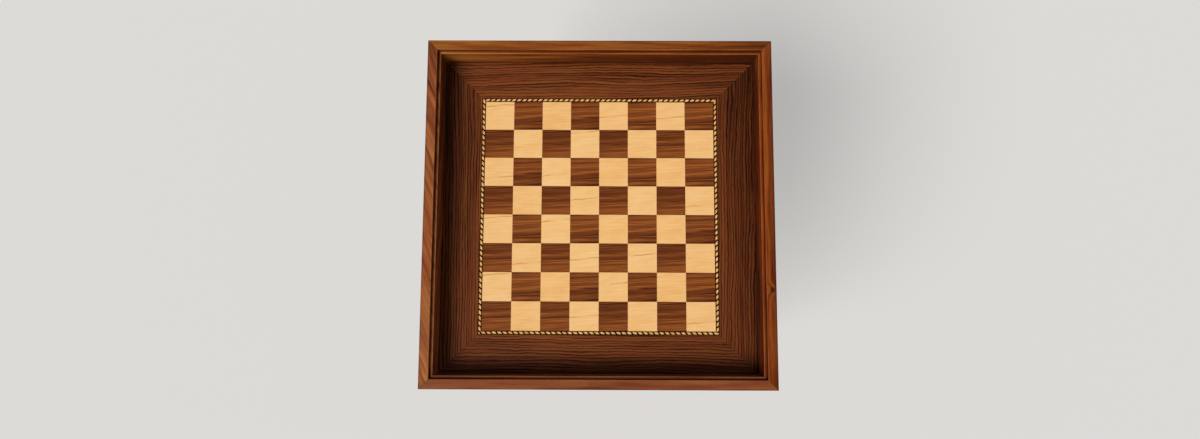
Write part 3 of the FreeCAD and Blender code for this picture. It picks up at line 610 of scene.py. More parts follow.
# %% Where am I on the board?
def square_space(tree):
    """For a point: its place in its square, its row's leaf, and a chance of the square's own."""
    counted = add(tree, "Mapping", {
        "Vector": add(tree, "TexCoord").outputs["Object"],
        "Scale": (1 / square, 1 / square, 1 / square),
        "Location": (ROWS / 2, ROWS / 2, 0),
    }, vector_type="POINT")
    cell = add(tree, "VectorMath", {0: counted}, operation="FLOOR")
    inside = add(tree, "VectorMath", {0: counted}, operation="FRACTION")
    row = add(tree, "SeparateXYZ", {"Vector": cell}).outputs["Y"]
    leaf = add(tree, "Math", {0: row, 1: 2.0}, operation="FLOORED_MODULO")
    chance = add(tree, "TexWhiteNoise", {"Vector": cell}, noise_dimensions="3D")
    return add(tree, "SeparateXYZ", {"Vector": inside}).outputs, leaf, chance


def height_over(tree, inside, rise):
    """How far a point is above a line that rises to the right, in parts of a square's side."""
    climb = add(tree, "Math", {0: inside["X"], 1: rise}, operation="MULTIPLY")
    return add(tree, "Math", {0: inside["Y"], 1: climb}, operation="SUBTRACT")


def leaf_streaks(tree, inside, seed, length, width, rise, detail):
    """Streaks inside a square, in parts of its side. Seeds that are close look nearly alike."""
    drawn = add(tree, "CombineXYZ", {
        "X": add(tree, "Math", {0: inside["X"], 1: 1 / length}, operation="MULTIPLY"),
        "Y": add(tree, "Math", {0: height_over(tree, inside, rise), 1: 1 / width},
                 operation="MULTIPLY"),
    })
    settings = {"Vector": drawn, "W": seed, "Scale": 1.0, "Detail": detail, "Roughness": 0.55}
    return add(tree, "TexNoise", settings, noise_dimensions="4D")


print("the board has", ROWS * ROWS, "squares of", round(square / MM, 1), "mm")

# %% [markdown]
# The dark squares are walnut veneer with broad bands, under the same lacquer. The bands of a
# leaf are the same in every square cut from it, so each leaf gets its bands listed, as a
# ramp from the near edge of the square to the far one, where 0 is dark and 1 is light. Fine
# streaks a millimetre or so wide, a small rise to the right and a small shift from square to
# square keep them from looking printed.

# %% Dark squares
LEAF_BANDS = (
    ((0.0, 0.45), (0.12, 0.62), (0.26, 0.45), (0.42, 0.5), (0.5, 0.2), (0.57, 0.55),
     (0.66, 0.3), (0.82, 0.25), (1.0, 0.3)),
    ((0.0, 0.4), (0.07, 0.6), (0.16, 0.25), (0.32, 0.2), (0.42, 0.75), (0.52, 0.5),
     (0.6, 0.72), (0.74, 0.4), (0.86, 0.5), (1.0, 0.25)),
)
DARK_SQUARE_TONES = ((0.2, "#4A1E0B"), (0.5, "#80431C"), (0.8, "#B2672C"))
DARK_SQUARES_DIFFER = 0.5
BAND_RISE = 0.02
SECOND_LEAF_RISES = 0.05
# each pattern's length, width and rise in parts of a square's side, and its detail
DARK_RIPPLE = (0.9, 0.3, 0.05, 1.0)
DARK_FINE = (1.8, 0.035, 0.05, 4.0)
DARK_BROAD = (2.5, 0.12, 0.05, 2.0)


def banded_walnut():
    """Walnut veneer in two leaves: to the eye, dark and light bands with fine streaks."""
    material, tree = new_material("walnut_squares")
    inside, leaf, chance = square_space(tree)
    rise = add(tree, "Math", {0: leaf, 1: SECOND_LEAF_RISES, 2: BAND_RISE},
               operation="MULTIPLY_ADD")
    seed = add(tree, "Math", {0: chance, 1: DARK_SQUARES_DIFFER, 2: leaf},
               operation="MULTIPLY_ADD")
    ripple, fine, broad = (leaf_streaks(tree, inside, seed, *pattern)
                           for pattern in (DARK_RIPPLE, DARK_FINE, DARK_BROAD))
    height = tone_from(tree, height_over(tree, inside, rise), [(ripple, 0.22), (chance, 0.1)])
    first, second = (
        add(tree, "ValToRGB", {"Fac": height}, stops=bands) for bands in LEAF_BANDS)
    bands = add(tree, "Mix", {"Factor": leaf, "A": first, "B": second}, data_type="RGBA")
    tone = tone_from(tree, 0.48, [(bands, 0.55), (fine, 1.3), (broad, 0.3), (chance, 0.08)])
    lacquered(tree, add(tree, "ValToRGB", {"Fac": tone}, stops=DARK_SQUARE_TONES), fine)
    return material


wear(["squares_dark"], banded_walnut())

# %% [markdown]
# The light squares are maple veneer, ambered by its lacquer to a honey cream. Maple has no
# bands to speak of: a faint brushing of fine streaks, soft warm patches, and here and there
# a mineral streak, a thin brown line that crosses a square at a slant. Only squares whose
# own chance is high enough get one, at a height that the same chance decides.

# %% Light squares
LIGHT_SQUARE_TONES = ((0.2, "#EFB068"), (0.5, "#F8C27D"), (0.8, "#FBCE90"))
LIGHT_SQUARES_DIFFER = 3.0
MINERAL_SHARE = 0.45
MINERAL_RISE = 0.1
MINERAL_WANDER = 0.12
MINERAL_LINE = (0.004, 0.03)
MINERAL_STRENGTH = 0.7
RESHUFFLE = 7.0
# each pattern's length, width and rise in parts of a square's side, and its detail
LIGHT_FINE = (0.9, 0.03, 0.06, 3.0)
LIGHT_PATCH = (0.6, 0.22, 0.1, 1.0)
LIGHT_RIPPLE = (0.5, 0.5, 0.1, 2.0)


def mineral_streak(tree, inside, chance, patch, ripple):
    """How strong the thin line across some squares is, and 0 where there is none."""
    shuffled = add(tree, "Math", {0: chance, 1: RESHUFFLE}, operation="MULTIPLY")
    place = add(tree, "Math", {0: shuffled}, operation="FRACT")
    place = tone_from(tree, place, [(ripple, MINERAL_WANDER)])
    line = add(tree, "MapRange", {
        "Value": apart(tree, height_over(tree, inside, MINERAL_RISE), place),
        "From Min": MINERAL_LINE[0], "From Max": MINERAL_LINE[1], "To Min": 1.0, "To Max": 0.0,
    })
    chosen = add(tree, "Math", {0: chance, 1: 1.0 - MINERAL_SHARE}, operation="GREATER_THAN")
    fade = add(tree, "MapRange", {
        "Value": patch, "From Min": 0.4, "From Max": 0.6, "To Max": MINERAL_STRENGTH,
    })
    streak = add(tree, "Math", {0: line, 1: chosen}, operation="MULTIPLY")
    return add(tree, "Math", {0: streak, 1: fade}, operation="MULTIPLY")


def maple():
    """Maple veneer: to the eye, even honey cream, with a thin brown streak in some squares."""
    material, tree = new_material("maple_squares")
    inside, leaf, chance = square_space(tree)
    seed = add(tree, "Math", {0: chance, 1: LIGHT_SQUARES_DIFFER, 2: leaf},
               operation="MULTIPLY_ADD")
    fine, patch, ripple = (leaf_streaks(tree, inside, seed, *pattern)
                           for pattern in (LIGHT_FINE, LIGHT_PATCH, LIGHT_RIPPLE))
    tone = tone_from(tree, 0.5, [(fine, 1.0), (patch, 0.5), (chance, 0.25)])
    body = add(tree, "ValToRGB", {"Fac": tone}, stops=LIGHT_SQUARE_TONES)
    streak = mineral_streak(tree, inside, chance, patch, ripple)
    base = add(tree, "Mix", {"Factor": streak, "A": body, "B": colour("#BE7410")},
               data_type="RGBA")
    lacquered(tree, base, fine)
    return material


wear(["squares_light"], maple())

# %% [markdown]
# ## Rope and lines
#
# The rope banding is bought by the metre: slanting lozenges of boxwood and of black-dyed
# veneer, glued up in a block and sawn into strips. Boxwood is the smoothest wood there is,
# so it shows only a faint change of yellow from piece to piece, and brown edges where glue
# has soaked in. Dyed veneer is black right through and shows no grain. At four millimetres
# across, neither needs more.

# %% Rope and lines
rope_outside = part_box("rope_light")[1].x
ROPE_HALF = (rope_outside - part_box("line_inner")[1].x) / 2
ROPE_MIDDLE = rope_outside - ROPE_HALF
GLUE_SOAK = 0.8 * MM
print("rope", round(2 * ROPE_HALF / MM, 2), "mm wide,", round(ROPE_MIDDLE / MM, 1), "mm out")


def rope_edges(tree):
    """1 along both edges of the rope, where glue has soaked in, and 0 inside."""
    return add(tree, "MapRange", {
        "Value": apart(tree, how_far_out(tree), ROPE_MIDDLE),
        "From Min": ROPE_HALF - GLUE_SOAK, "From Max": ROPE_HALF - 0.1 * MM,
    })


def plain_wood(name, light, dark, length, width, soaked=False):
    """A wood with little figure: two close colours in streaks, under lacquer."""
    material, tree = new_material(name)
    pattern = streaks(tree, grain_space(tree, "x"), length, width)
    base = add(tree, "ValToRGB", {"Fac": pattern}, stops=((0.35, dark), (0.62, light)))
    if soaked:
        base = add(tree, "Mix", {"Factor": rope_edges(tree), "A": base, "B": colour("#5A2A10")},
                   data_type="RGBA")
    lacquered(tree, base, pattern)
    return material


wear(["rope_light"],
     plain_wood("boxwood", light="#FCCB80", dark="#DA9440", length=9 * MM, width=5 * MM,
                soaked=True))
wear(["rope_black", "line_inner", "line_outer"],
     plain_wood("black_dyed_veneer", light="#1C0B06", dark="#0B0403", length=20 * MM,
                width=1.2 * MM))

# %% [markdown]
# ## Woods that don't show from above
#
# The bars and corner blocks under the board are beech, planed and left bare, with the grain
# along each piece. Beech is pinkish tan with short dark flecks, the rays, a few millimetres
# long. The panel under the veneer is birch plywood, and from the side it is a stack of thin
# layers that take turns between long grain and end grain. Its underside has a plain walnut
# veneer, which balances the pull of the veneers on top.

# %% Bare woods
PLY = 1.25 * MM


def bare(tree, base, roughness, relief, strength):
    """End a material as planed or sanded wood with nothing on it: to the eye, matt."""
    bump = add(tree, "Bump", {"Height": relief, "Strength": strength, "Distance": 0.1 * MM})
    add(tree, "OutputMaterial", {"Surface": add(tree, "BsdfPrincipled", {
        "Base Color": base, "Roughness": roughness, "IOR": 1.5, "Specular IOR Level": 0.3,
        "Normal": bump,
    })})


def beech(name, along, lean=0.0):
    """Planed bare beech: to the eye, matt pinkish tan with short dark flecks."""
    material, tree = new_material(name)
    space = grain_space(tree, along, lean=lean)
    soft = streaks(tree, space, length=60 * MM, width=6 * MM)
    flecks = streaks(tree, space, length=3 * MM, width=0.5 * MM, detail=1.0)
    base = add(tree, "ValToRGB", {"Fac": soft}, stops=((0.3, "#C99C70"), (0.7, "#E2BA90")))
    dotted = add(tree, "MapRange", {
        "Value": flecks, "From Min": 0.6, "From Max": 0.68, "To Min": 0.0, "To Max": 0.5,
    })
    base = add(tree, "Mix", {"Factor": dotted, "A": base, "B": colour("#9A6A41")},
               data_type="RGBA")
    bare(tree, base, roughness=0.65, relief=flecks, strength=0.15)
    return material


def birch_plywood():
    """Sanded birch plywood: to the eye, cream, with thin layers along its edges."""
    material, tree = new_material("birch_plywood")
    count = add(tree, "Math", {0: place_of(tree)["Z"], 1: 1 / PLY}, operation="MULTIPLY")
    count = add(tree, "Math", {0: count}, operation="FLOOR")
    layer = add(tree, "Math", {0: count, 1: 2.0}, operation="FLOORED_MODULO")
    grain = streaks(tree, grain_space(tree, "x"), length=30 * MM, width=1.2 * MM)
    tone = tone_from(tree, 0.5, [(grain, 0.6), (layer, 0.35)])
    base = add(tree, "ValToRGB", {"Fac": tone}, stops=((0.2, "#A87C4C"), (0.8, "#E0C69C")))
    bare(tree, base, roughness=0.7, relief=grain, strength=0.1)
    return material


wear(["cleat_front", "cleat_back"], beech("beech_across", "x"))
wear(["cleat_left", "cleat_right"], beech("beech_deep", "y"))
wear(["corner_block_front_right", "corner_block_back_left"],
     beech("beech_rising", "x", math.radians(45)))
wear(["corner_block_front_left", "corner_block_back_right"],
     beech("beech_falling", "x", math.radians(-45)))
wear(["board_core", "mitre_tongues"], birch_plywood())
wear(["board_backing"], walnut("walnut_backing", "x", BORDER_TONES, pith=(0.2, -0.9, 0.4),
                               mitred=False))

# %% [markdown]
# ## Metal and nylon
#
# The screws, bolts, nuts, washers and feet are steel with a bright zinc plate, which is a
# slightly blue silver with a cloudy, uneven gloss, because the bath leaves fine crystals.
# The threaded inserts in the legs are turned brass. The pads under the feet are moulded black
# nylon, matt with a very fine grain, which keeps a foot from scratching a floor. A metal's
# colour is its reflection, so its base colour is bright and its metallic value is 1.


# %% Metal and nylon
def metal(name, tint, roughness):
    """Plated or turned metal: to the eye, a soft gloss that clouds over from place to place."""
    material, tree = new_material(name)
    cloud = streaks(tree, grain_space(tree, "x"), length=2 * MM, width=2 * MM)
    rough = tone_from(tree, roughness, [(cloud, 0.2)])
    add(tree, "OutputMaterial", {"Surface": add(tree, "BsdfPrincipled", {
        "Base Color": colour(tint), "Metallic": 1.0, "Roughness": rough,
    })})
    return material


def moulded_nylon():
    """Moulded black nylon: to the eye, nearly black and matt, with a fine grain."""
    material, tree = new_material("moulded_nylon")
    spark = streaks(tree, grain_space(tree, "x"), length=0.6 * MM, width=0.6 * MM)
    base = add(tree, "ValToRGB", {"Fac": spark}, stops=((0.3, "#151515"), (0.7, "#1E1E1E")))
    bump = add(tree, "Bump", {"Height": spark, "Strength": 0.2, "Distance": 0.05 * MM})
    add(tree, "OutputMaterial", {"Surface": add(tree, "BsdfPrincipled", {
        "Base Color": base, "Roughness": 0.55, "IOR": 1.53, "Normal": bump,
    })})
    return material


zinc = metal("zinc_plated_steel", "#C9CCD1", roughness=0.35)
wear(["hanger_bolts", "bolt_washers", "bolt_nuts", "cleat_screws", "block_screws",
      "board_screws"] + ["foot_stem_" + corner for corner in CORNERS], zinc)
wear(["foot_inserts"], metal("turned_brass", "#D9B46A", roughness=0.3))
nylon = moulded_nylon()
wear(["foot_pad_" + corner for corner in CORNERS], nylon)

# %% [markdown]
# ## Turning small pieces
#
# Screws, bolts and feet are round, and so are most of their details. They are made the way a
# turner would, from one end to the other: a disc is extruded a little way and resized, again
# and again, until it has followed a whole profile. A spin would make the same shape from a
# drawn outline, but this way a groove is only two more numbers in a list. The result is
# closed at both ends.
#
# A thread is a helix. At a pitch of about a millimetre nobody can tell a helix from plain
# rings side by side, and rings are what the profile makes.


# %% Turning
def take_up(piece):
    """Select one piece and nothing else."""
    bpy.ops.object.select_all(action="DESELECT")
    piece.select_set(True)
    bpy.context.view_layer.objects.active = piece


def turned(name, profile, sides):
    """A closed round piece. The profile is (radius, height) pairs in millimetres."""
    rings = [(radius * MM, height * MM) for radius, height in profile]
    radius, height = rings[0]
    bpy.ops.object.select_all(action="DESELECT")
    bpy.ops.mesh.primitive_circle_add(
        vertices=sides, radius=radius, fill_type="NGON", location=(0, 0, height))
    piece = bpy.context.object
    piece.name = name
    bpy.ops.object.mode_set(mode="EDIT")
    bpy.ops.mesh.select_all(action="SELECT")
    for wider, higher in rings[1:]:
        step = (0, 0, higher - height)
        bpy.ops.mesh.extrude_region_move(TRANSFORM_OT_translate={"value": step})
        bpy.ops.transform.resize(value=(wider / radius, wider / radius, 1),
                                 center_override=(0, 0, higher))
        radius, height = wider, higher
    bpy.ops.mesh.select_all(action="SELECT")
    bpy.ops.mesh.normals_make_consistent(inside=False)
    bpy.ops.object.mode_set(mode="OBJECT")
    bpy.ops.object.transform_apply(location=True, rotation=True, scale=True)
    return piece


def pick(piece, test):
    """Go into edit mode with only the faces selected that pass a test."""
    bpy.ops.object.mode_set(mode="EDIT")
    bpy.ops.mesh.select_mode(type="FACE")
    bpy.ops.mesh.select_all(action="DESELECT")
    bpy.ops.object.mode_set(mode="OBJECT")
    for face in piece.data.polygons:
        face.select = test(face)
    bpy.ops.object.mode_set(mode="EDIT")


def threaded(start, end, crest, root, pitch):
    """The part of a profile that is a thread: crests and roots by turns."""
    turns = int(abs(end - start) / pitch)
    step = math.copysign(pitch, end - start)
    rings = []
    for turn in range(turns):
        rings += [(crest, start + turn * step), (root, start + (turn + 0.5) * step)]
    return rings + [(crest, start + turns * step)]


def shaped(piece, tool, operation):
    """Cut a piece with a tool, join the two or keep what they share. The tool is used up."""
    step = piece.modifiers.new("shaping", "BOOLEAN")
    step.operation = operation
    step.solver = "EXACT"
    step.object = tool
    bpy.context.view_layer.objects.active = piece
    bpy.ops.object.modifier_apply(modifier=step.name)
    bpy.data.objects.remove(tool, do_unlink=True)
    return piece


sample = threaded(start=0, end=10, crest=4, root=3.35, pitch=1.25)
print("a thread of", len(sample), "rings on 10 mm")

# %% [markdown]
# The plain solids say where each small piece goes. A node of several solids is copied, its
# loose triangles are merged, and the copy is separated into one object for each solid. What
# is left of them is a list of points for each, and the copies are thrown away.

# %% Where the small pieces go
SHARP_EDGE = math.radians(32)


def solids_of(name):
    """The points of each solid of a node."""
    twin = bpy.data.objects.new("solids", nodes[name].data.copy())
    bpy.context.scene.collection.objects.link(twin)
    take_up(twin)
    bpy.ops.object.mode_set(mode="EDIT")
    bpy.ops.mesh.select_all(action="SELECT")
    bpy.ops.mesh.remove_doubles(threshold=0.001 * MM)
    bpy.ops.mesh.separate(type="LOOSE")
    bpy.ops.object.mode_set(mode="OBJECT")
    parts = list(bpy.context.selected_objects)
    points = [[v.co.copy() for v in part.data.vertices] for part in parts]
    for part in parts:
        bpy.data.objects.remove(part, do_unlink=True)
    return sorted(points, key=lambda cloud: tuple(round(c, 4) for c in middle_of(cloud)))


def middle_of(cloud):
    """The middle of the box round some points."""
    return Vector((min(p[k] for p in cloud) + max(p[k] for p in cloud)) / 2 for k in range(3))


def reach(cloud, axis):
    """How far some points reach along an axis, from the origin."""
    along = [p.dot(axis) for p in cloud]
    return min(along), max(along)


def placed(master, name, place, direction, body, node):
    """A copy of a piece, its own +Z turned to a direction, riding a body for a node."""
    piece = master.copy()
    piece.data = master.data.copy()
    piece.name = name
    bpy.context.scene.collection.objects.link(piece)
    take_up(piece)
    piece.rotation_mode = "QUATERNION"
    piece.rotation_quaternion = direction.to_track_quat("Z", "Y")
    piece.location = place
    bpy.ops.object.transform_apply(location=True, rotation=True, scale=True)
    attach(piece, body)
    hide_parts(node)
    return piece


def finished(master, material):
    """Smooth a master piece except at its sharp edges, and give it its metal or nylon."""
    take_up(master)
    bpy.ops.object.shade_smooth_by_angle(angle=SHARP_EDGE)
    master.data.materials.clear()
    master.data.materials.append(material)
    return master


print("to model again:", ", ".join(n for n in nodes if n.endswith(("screws", "bolts", "nuts"))))

# %% [markdown]
# ## Wood screws
#
# Thirty-six wood screws hold the bars, the blocks and the board. Each has a flat-topped,
# rounded head with a cross for the driver, and a coarse thread down to its point. They come
# in three lengths, so three screws are made, and each is copied to where its own solids are.
# A screw is drawn along +Z with the top of its head at zero. The cross is two tapered bars,
# cut out of the head.

# %% Screws
HEAD_RADIUS = 4.0
HEAD_HEIGHT = 2.6
SHANK_RADIUS = 2.0
SCREW_ROOT = 1.35
SCREW_PITCH = 1.8
PLAIN_LENGTH = 1.5
POINT_LENGTH = 5.0
RECESS_LENGTH = 6.0
RECESS_WIDTH = 1.5
RECESS_DEPTH = 1.8
RECESS_TAPER = 0.45


def cross_recess():
    """The tool that cuts the cross: two bars, narrower at the bottom than at the top."""
    bars = []
    for long_side, short_side in ((RECESS_LENGTH, RECESS_WIDTH), (RECESS_WIDTH, RECESS_LENGTH)):
        bpy.ops.object.select_all(action="DESELECT")
        bpy.ops.mesh.primitive_cube_add(size=1, location=(0, 0, 0))
        bar = bpy.context.object
        bar.scale = (long_side * MM, short_side * MM, 2 * RECESS_DEPTH * MM)
        bpy.ops.object.transform_apply(location=True, rotation=True, scale=True)
        pick(bar, lambda face: face.normal.z < -0.5)
        bpy.ops.transform.resize(value=(RECESS_TAPER, RECESS_TAPER, 1),
                                 center_override=(0, 0, 0))
        bpy.ops.object.mode_set(mode="OBJECT")
        bars.append(bar)
    return shaped(bars[0], bars[1], "UNION")


def wood_screw(length):
    """A wood screw of a length in millimetres, head included."""
    head = [(2.4, 0.0), (3.2, -0.25), (3.75, -0.8), (HEAD_RADIUS, -1.6),
            (HEAD_RADIUS, -HEAD_HEIGHT + 0.2), (HEAD_RADIUS - 0.2, -HEAD_HEIGHT)]
    shank = [(SHANK_RADIUS, -HEAD_HEIGHT)]
    thread = threaded(-HEAD_HEIGHT - PLAIN_LENGTH, -length + POINT_LENGTH, SHANK_RADIUS,
                      SCREW_ROOT, SCREW_PITCH)
    point = [(0.55, -length + 1.2), (0.1, -length)]
    screw = turned("wood_screw", head + shank + thread + point, sides=20)
    return finished(shaped(screw, cross_recess(), "DIFFERENCE"), zinc)


def main_axis(cloud):
    """The longest way of a screw, from its point to its head."""
    spans = [max(p[k] for p in cloud) - min(p[k] for p in cloud) for k in range(3)]
    axis = Vector((0, 0, 0))
    axis[spans.index(max(spans))] = 1.0
    middle = middle_of(cloud)
    in_the_head = (HEAD_RADIUS + SHANK_RADIUS) / 2 * MM
    heavy = sum((p - middle).dot(axis) for p in cloud
                if ((p - middle) - axis * (p - middle).dot(axis)).length > in_the_head)
    return axis if heavy > 0 else -axis


for kind in ("cleat_screw", "block_screw", "board_screw"):
    clouds = solids_of(kind + "s")
    low, high = reach(clouds[0], main_axis(clouds[0]))
    master = wood_screw((high - low) / MM)
    for number, cloud in enumerate(clouds, 1):
        outward = main_axis(cloud)
        middle = middle_of(cloud)
        top = middle + outward * (reach(cloud, outward)[1] - middle.dot(outward))
        placed(master, "%s_%02d" % (kind, number), top, outward, "table",
               kind + "s")
    bpy.data.objects.remove(master, do_unlink=True)
    print(kind, len(clouds), "of", round((high - low) / MM, 1), "mm")

# %% [markdown]
# ## Nuts
#
# A nut is a plain hexagon until its corners are turned down to a shallow cone on both faces,
# which is what makes a nut look like one. So a hexagon is made, a turned disc with bevelled
# rims is made round it, and what the two share is kept. The disc is a little thicker than the
# hexagon and has thirty sides, so that no face or edge of the one lies exactly on the other,
# where a cut could fall either way.

# %% Nuts
THREAD_CREST = 4.0
NUT_FLATS = 13.0
NUT_THICKNESS = 6.5
CORNER_RADIUS = NUT_FLATS / math.sqrt(3)
FACE_RADIUS = 0.97 * NUT_FLATS / 2
NUT_BEVEL = 0.75
OVERHANG = 0.1
THREAD_PLAY = 0.1
COUNTERSINK_RADIUS = 5.2
COUNTERSINK_DEPTH = 0.8


def hexagon(thickness):
    """A bevelled hexagon, standing on the origin, with two corners on the X axis."""
    bpy.ops.object.select_all(action="DESELECT")
    bpy.ops.mesh.primitive_cylinder_add(
        vertices=6, radius=CORNER_RADIUS * MM, depth=thickness * MM,
        location=(0, 0, thickness / 2 * MM), rotation=(0, 0, math.radians(30)))
    block = bpy.context.object
    bpy.ops.object.transform_apply(location=True, rotation=True, scale=True)
    wide = CORNER_RADIUS + OVERHANG
    narrow = FACE_RADIUS - (wide - FACE_RADIUS) * OVERHANG / NUT_BEVEL
    blank = turned("blank", [(narrow, -OVERHANG), (wide, NUT_BEVEL),
                             (wide, thickness - NUT_BEVEL),
                             (narrow, thickness + OVERHANG)], sides=30)
    return shaped(block, blank, "INTERSECT")


def nut():
    """A nut with a countersunk hole, standing on the origin."""
    hole = THREAD_CREST + THREAD_PLAY
    bore = turned("bore", [(COUNTERSINK_RADIUS, -OVERHANG), (hole, COUNTERSINK_DEPTH),
                           (hole, NUT_THICKNESS - COUNTERSINK_DEPTH),
                           (COUNTERSINK_RADIUS, NUT_THICKNESS + OVERHANG)], sides=24)
    return finished(shaped(hexagon(NUT_THICKNESS), bore, "DIFFERENCE"), zinc)


nut_master = nut()
print("a nut of", len(nut_master.data.polygons), "faces")

# %% [markdown]
# ## Hanger bolts
#
# A hanger bolt is a wood screw at one end and a machine bolt at the other. Its wood end is in
# the leg, and its machine end comes out through the corner block, where a washer and a nut
# pull the leg tight. The bolt lies level and points out through the corner of the table, so
# each bolt and nut is looked up as the one that is furthest out that way.

# %% Hanger bolts
THREAD_ROOT = 3.35
THREAD_PITCH = 1.25
MACHINE_LENGTH = 28.0
WAIST_RADIUS = 3.6
WOOD_START = 32.0
WOOD_ROOT = 2.8
WOOD_PITCH = 2.8
WOOD_POINT = 8.0


def hanger_bolt(length):
    """A hanger bolt, its machine end at the origin and its point down at -length."""
    tail = [(THREAD_ROOT - 0.4, 0.0)]
    machine = threaded(-0.8, -MACHINE_LENGTH, THREAD_CREST, THREAD_ROOT, THREAD_PITCH)
    waist = [(WAIST_RADIUS, -MACHINE_LENGTH - 1.5), (WAIST_RADIUS, -WOOD_START + 1.0)]
    wood = threaded(-WOOD_START, -length + WOOD_POINT, THREAD_CREST, WOOD_ROOT, WOOD_PITCH)
    point = [(1.6, -length + 2.0), (0.2, -length)]
    profile = tail + machine + waist + wood + point
    return finished(turned("hanger_bolt", profile, sides=24), zinc)


def outward_of(corner):
    """The level way from the middle of the table out through one of its legs."""
    low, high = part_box("leg_" + corner)
    return Vector((math.copysign(1, low.x + high.x),
                   math.copysign(1, low.y + high.y), 0)).normalized()


def furthest(clouds, outward):
    """The solid that is furthest out one way."""
    return max(clouds, key=lambda cloud: middle_of(cloud).dot(outward))


bolt_master = None
bolts, nuts = solids_of("hanger_bolts"), solids_of("bolt_nuts")
for name in CORNERS:
    outward = outward_of(name)
    bolt = furthest(bolts, outward)
    near, far = reach(bolt, outward)
    level = Vector((0, 0, middle_of(bolt).z))
    bolt_master = bolt_master or hanger_bolt((far - near) / MM)
    placed(bolt_master, "hanger_bolt_" + name, outward * near + level, -outward, "table",
           "hanger_bolts")
    seat = reach(furthest(nuts, outward), outward)[0]
    placed(nut_master, "bolt_nut_" + name, outward * seat + level, outward, "table",
           "bolt_nuts")
    print("bolt", name, round((far - near) / MM, 1), "mm at height", round(level.z / MM, 1))
for master in (nut_master, bolt_master):
    bpy.data.objects.remove(master, do_unlink=True)

# %% [markdown]
# ## Levelling feet
#
# A levelling foot is a steel stem with a thread, a hexagon for a spanner, and a nylon pad
# moulded round its lower end. Turning it screws the stem out of its insert in the leg, so
# each foot rides a body of its own. The stem is turned with all its grooves and joined to a
# hexagon. The pad has a flat sole, rounded rims, a shallow groove for grip and a socket for
# the stem.

# %% Feet
STEM_END = 44.0
COLLAR_LOW, COLLAR_HIGH = 8.0, 12.0
ROOT_LOW = 3.0
PAD_RADIUS = 13.0
GRIP_RADIUS = 12.6


def foot_stem():
    """The stem with its hexagon, its root down in the pad, in the middle of the table."""
    root = [(WAIST_RADIUS, ROOT_LOW), (THREAD_CREST, ROOT_LOW + 0.4),
            (THREAD_CREST, COLLAR_HIGH + 0.3), (THREAD_ROOT, COLLAR_HIGH + 0.8)]
    thread = threaded(COLLAR_HIGH + 1.4, STEM_END - 0.9, THREAD_CREST, THREAD_ROOT, THREAD_PITCH)
    stem = turned("foot_stem", root + thread + [(THREAD_ROOT - 0.4, STEM_END)], sides=24)
    collar = hexagon(COLLAR_HIGH - COLLAR_LOW)
    collar.location = (0, 0, COLLAR_LOW * MM)
    bpy.context.view_layer.update()
    return finished(shaped(stem, collar, "UNION"), zinc)


def foot_pad():
    """The pad, with a socket for the stem's root."""
    side = [(11.4, 0.0), (12.4, 0.3), (PAD_RADIUS, 1.3), (PAD_RADIUS, 3.9), (GRIP_RADIUS, 4.1),
            (GRIP_RADIUS, 4.9), (PAD_RADIUS, 5.1), (PAD_RADIUS, 6.7), (12.5, 7.6),
            (11.6, COLLAR_LOW)]
    socket = [(THREAD_CREST, COLLAR_LOW), (THREAD_CREST, ROOT_LOW)]
    return finished(turned("foot_pad", side + socket, sides=40), nylon)


stem_master, pad_master = foot_stem(), foot_pad()
upward = Vector((0, 0, 1))
for name in CORNERS:
    low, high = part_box("foot_pad_" + name)
    under = Vector(((low.x + high.x) / 2, (low.y + high.y) / 2, 0))
    for master, kind, slot in ((stem_master, "foot_stem_", "zinc_plated_steel"),
                               (pad_master, "foot_pad_", "black_nylon")):
        placed(master, "turned_" + kind + name, under, upward, "foot_" + name, kind + name)
for master in (stem_master, pad_master):
    print(master.name, len(master.data.polygons), "faces")
    bpy.data.objects.remove(master, do_unlink=True)

# %% [markdown]
# ## Floor
#
# The table stands on a plain pale floor, large enough to reach past every view. It is a
# stage and not a piece of the table, so it is declared as one. Half of what the camera sees
# of it is a glow in its own colour, which keeps the table's shadow soft and faint. Light Path
# limits the glow to rays that look at the floor, so it throws no light on the table.

# %% Floor
FLOOR_SIZE = 60.0
bpy.ops.object.select_all(action="DESELECT")
bpy.ops.mesh.primitive_plane_add(size=FLOOR_SIZE, location=(0, 0, 0))
floor = bpy.context.object
floor.name = "floor"
floor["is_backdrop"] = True
floor_paint, tree = new_material("pale_floor")
FLOOR_COLOUR = colour("#DEDCD9")
SHADOW_SOFTENING = 0.5
paint = add(tree, "BsdfPrincipled", {
    "Base Color": FLOOR_COLOUR, "Roughness": 0.85, "Specular IOR Level": 0.2,
})
glow = add(tree, "Emission", {"Color": FLOOR_COLOUR})
rays = add(tree, "LightPath").outputs
seen = add(tree, "Math", {0: rays["Is Camera Ray"], 1: rays["Is Glossy Ray"]},
           operation="MAXIMUM")
seen = add(tree, "Math", {0: seen, 1: rays["Is Transmission Ray"]}, operation="MAXIMUM")
share = add(tree, "Math", {0: seen, 1: SHADOW_SOFTENING}, operation="MULTIPLY")
add(tree, "OutputMaterial", {"Surface": add(tree, "MixShader", {0: share, 1: paint, 2: glow})})
floor.data.materials.append(floor_paint)
print("floor", FLOOR_SIZE, "m")

# %% [markdown]
# ## Light
#
# The key light is a Sun lamp with a very wide disc, which acts as a large soft window: it
# comes from the front and the left, so the walls of the box throw soft shadows on the near
# and the left border, and the back wall is fully lit. A Sun gives the same light all over,
# where an area lamp close by would leave one end of the floor darker.
#
# The world adds the rest. It is pale near the horizon, which fills the shadows from the
# side, grey higher up, and dark right overhead, so that the lacquer has little to mirror
# into a camera that looks straight down. Together they come to about 1 on a level surface,
# so a colour renders about as it is written.

# %% Key light
LIGHT_HEIGHT = math.radians(50)
LIGHT_TURN = math.radians(49)
LIGHT_SPREAD = math.radians(34)
LIGHT_POWER = 2.94

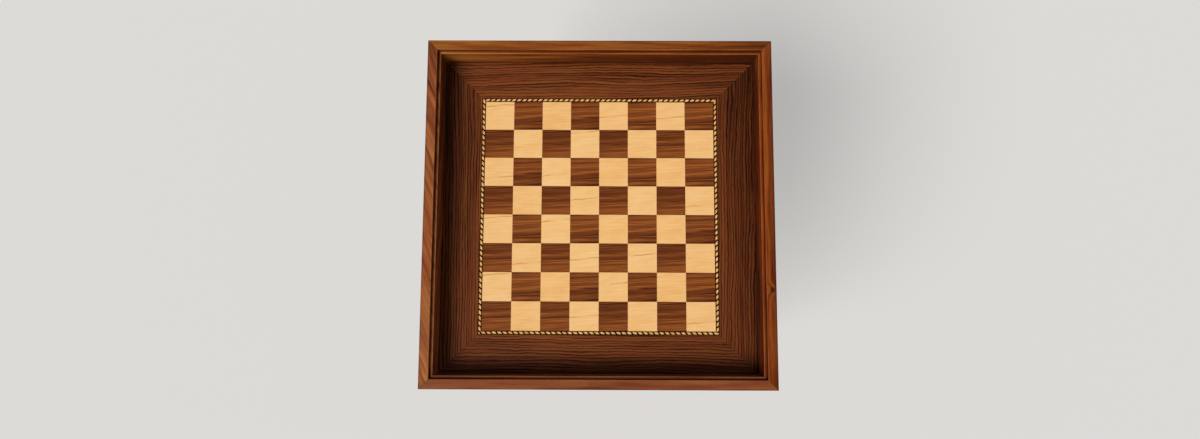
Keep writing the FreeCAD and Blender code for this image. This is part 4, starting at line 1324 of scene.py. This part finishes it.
light = bpy.data.lights.new("soft_key", "SUN")
light.energy = LIGHT_POWER
light.angle = LIGHT_SPREAD
lamp = bpy.data.objects.new("soft_key", light)
lamp.rotation_euler = (math.pi / 2 - LIGHT_HEIGHT, 0, -LIGHT_TURN)
bpy.context.scene.collection.objects.link(lamp)
print("key on a level surface", round(LIGHT_POWER * math.sin(LIGHT_HEIGHT) / math.pi, 2))

# %% World
SKY = ((0.12, "#E4E3E1"), (0.35, "#959596"), (0.82, "#8C8C8E"), (0.93, "#444446"))

world = bpy.data.worlds.new("studio")
bpy.context.scene.world = world
world.use_nodes = True
tree = world.node_tree
tree.nodes.clear()
direction = add(tree, "TexCoord").outputs["Generated"]
height = add(tree, "SeparateXYZ", {"Vector": direction}).outputs["Z"]
sky = add(tree, "ValToRGB", {"Fac": height}, stops=SKY)
add(tree, "OutputWorld", {"Surface": add(tree, "Background", {"Color": sky})})
bpy.context.scene.view_settings.view_transform = "Standard"
print("view", bpy.context.scene.view_settings.view_transform)

# %% [markdown]
# ## Camera
#
# The camera hangs over the board and looks almost straight down, a little from the front.
# Its focal length is kept in pixels of a picture 1200 wide and turned into millimetres of a
# 36 mm sensor.

# %% Camera
PICTURE_WIDTH = 1200
FOCAL_PIXELS = 759.8
SENSOR_WIDTH = 36.0
CAMERA_PLACE = (0.0073, -0.1593, board_top + 1.3305)
CAMERA_TILT = (6.468, 0.213, 0.216)

camera_data = bpy.data.cameras.new("camera")
camera_data.sensor_width = SENSOR_WIDTH
camera_data.lens = FOCAL_PIXELS / PICTURE_WIDTH * SENSOR_WIDTH
camera_data.clip_start = 0.01
camera = bpy.data.objects.new("camera", camera_data)
camera.location = CAMERA_PLACE
camera.rotation_euler = [math.radians(a) for a in CAMERA_TILT]
bpy.context.scene.collection.objects.link(camera)
bpy.context.scene.camera = camera
print("lens", round(camera_data.lens, 2), "mm")

# %% [markdown]
# ## Size
#
# The dressed table has to be as large as the model that came in. The last line measures the
# box round everything in the scene.

# %% Size and finish
low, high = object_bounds()
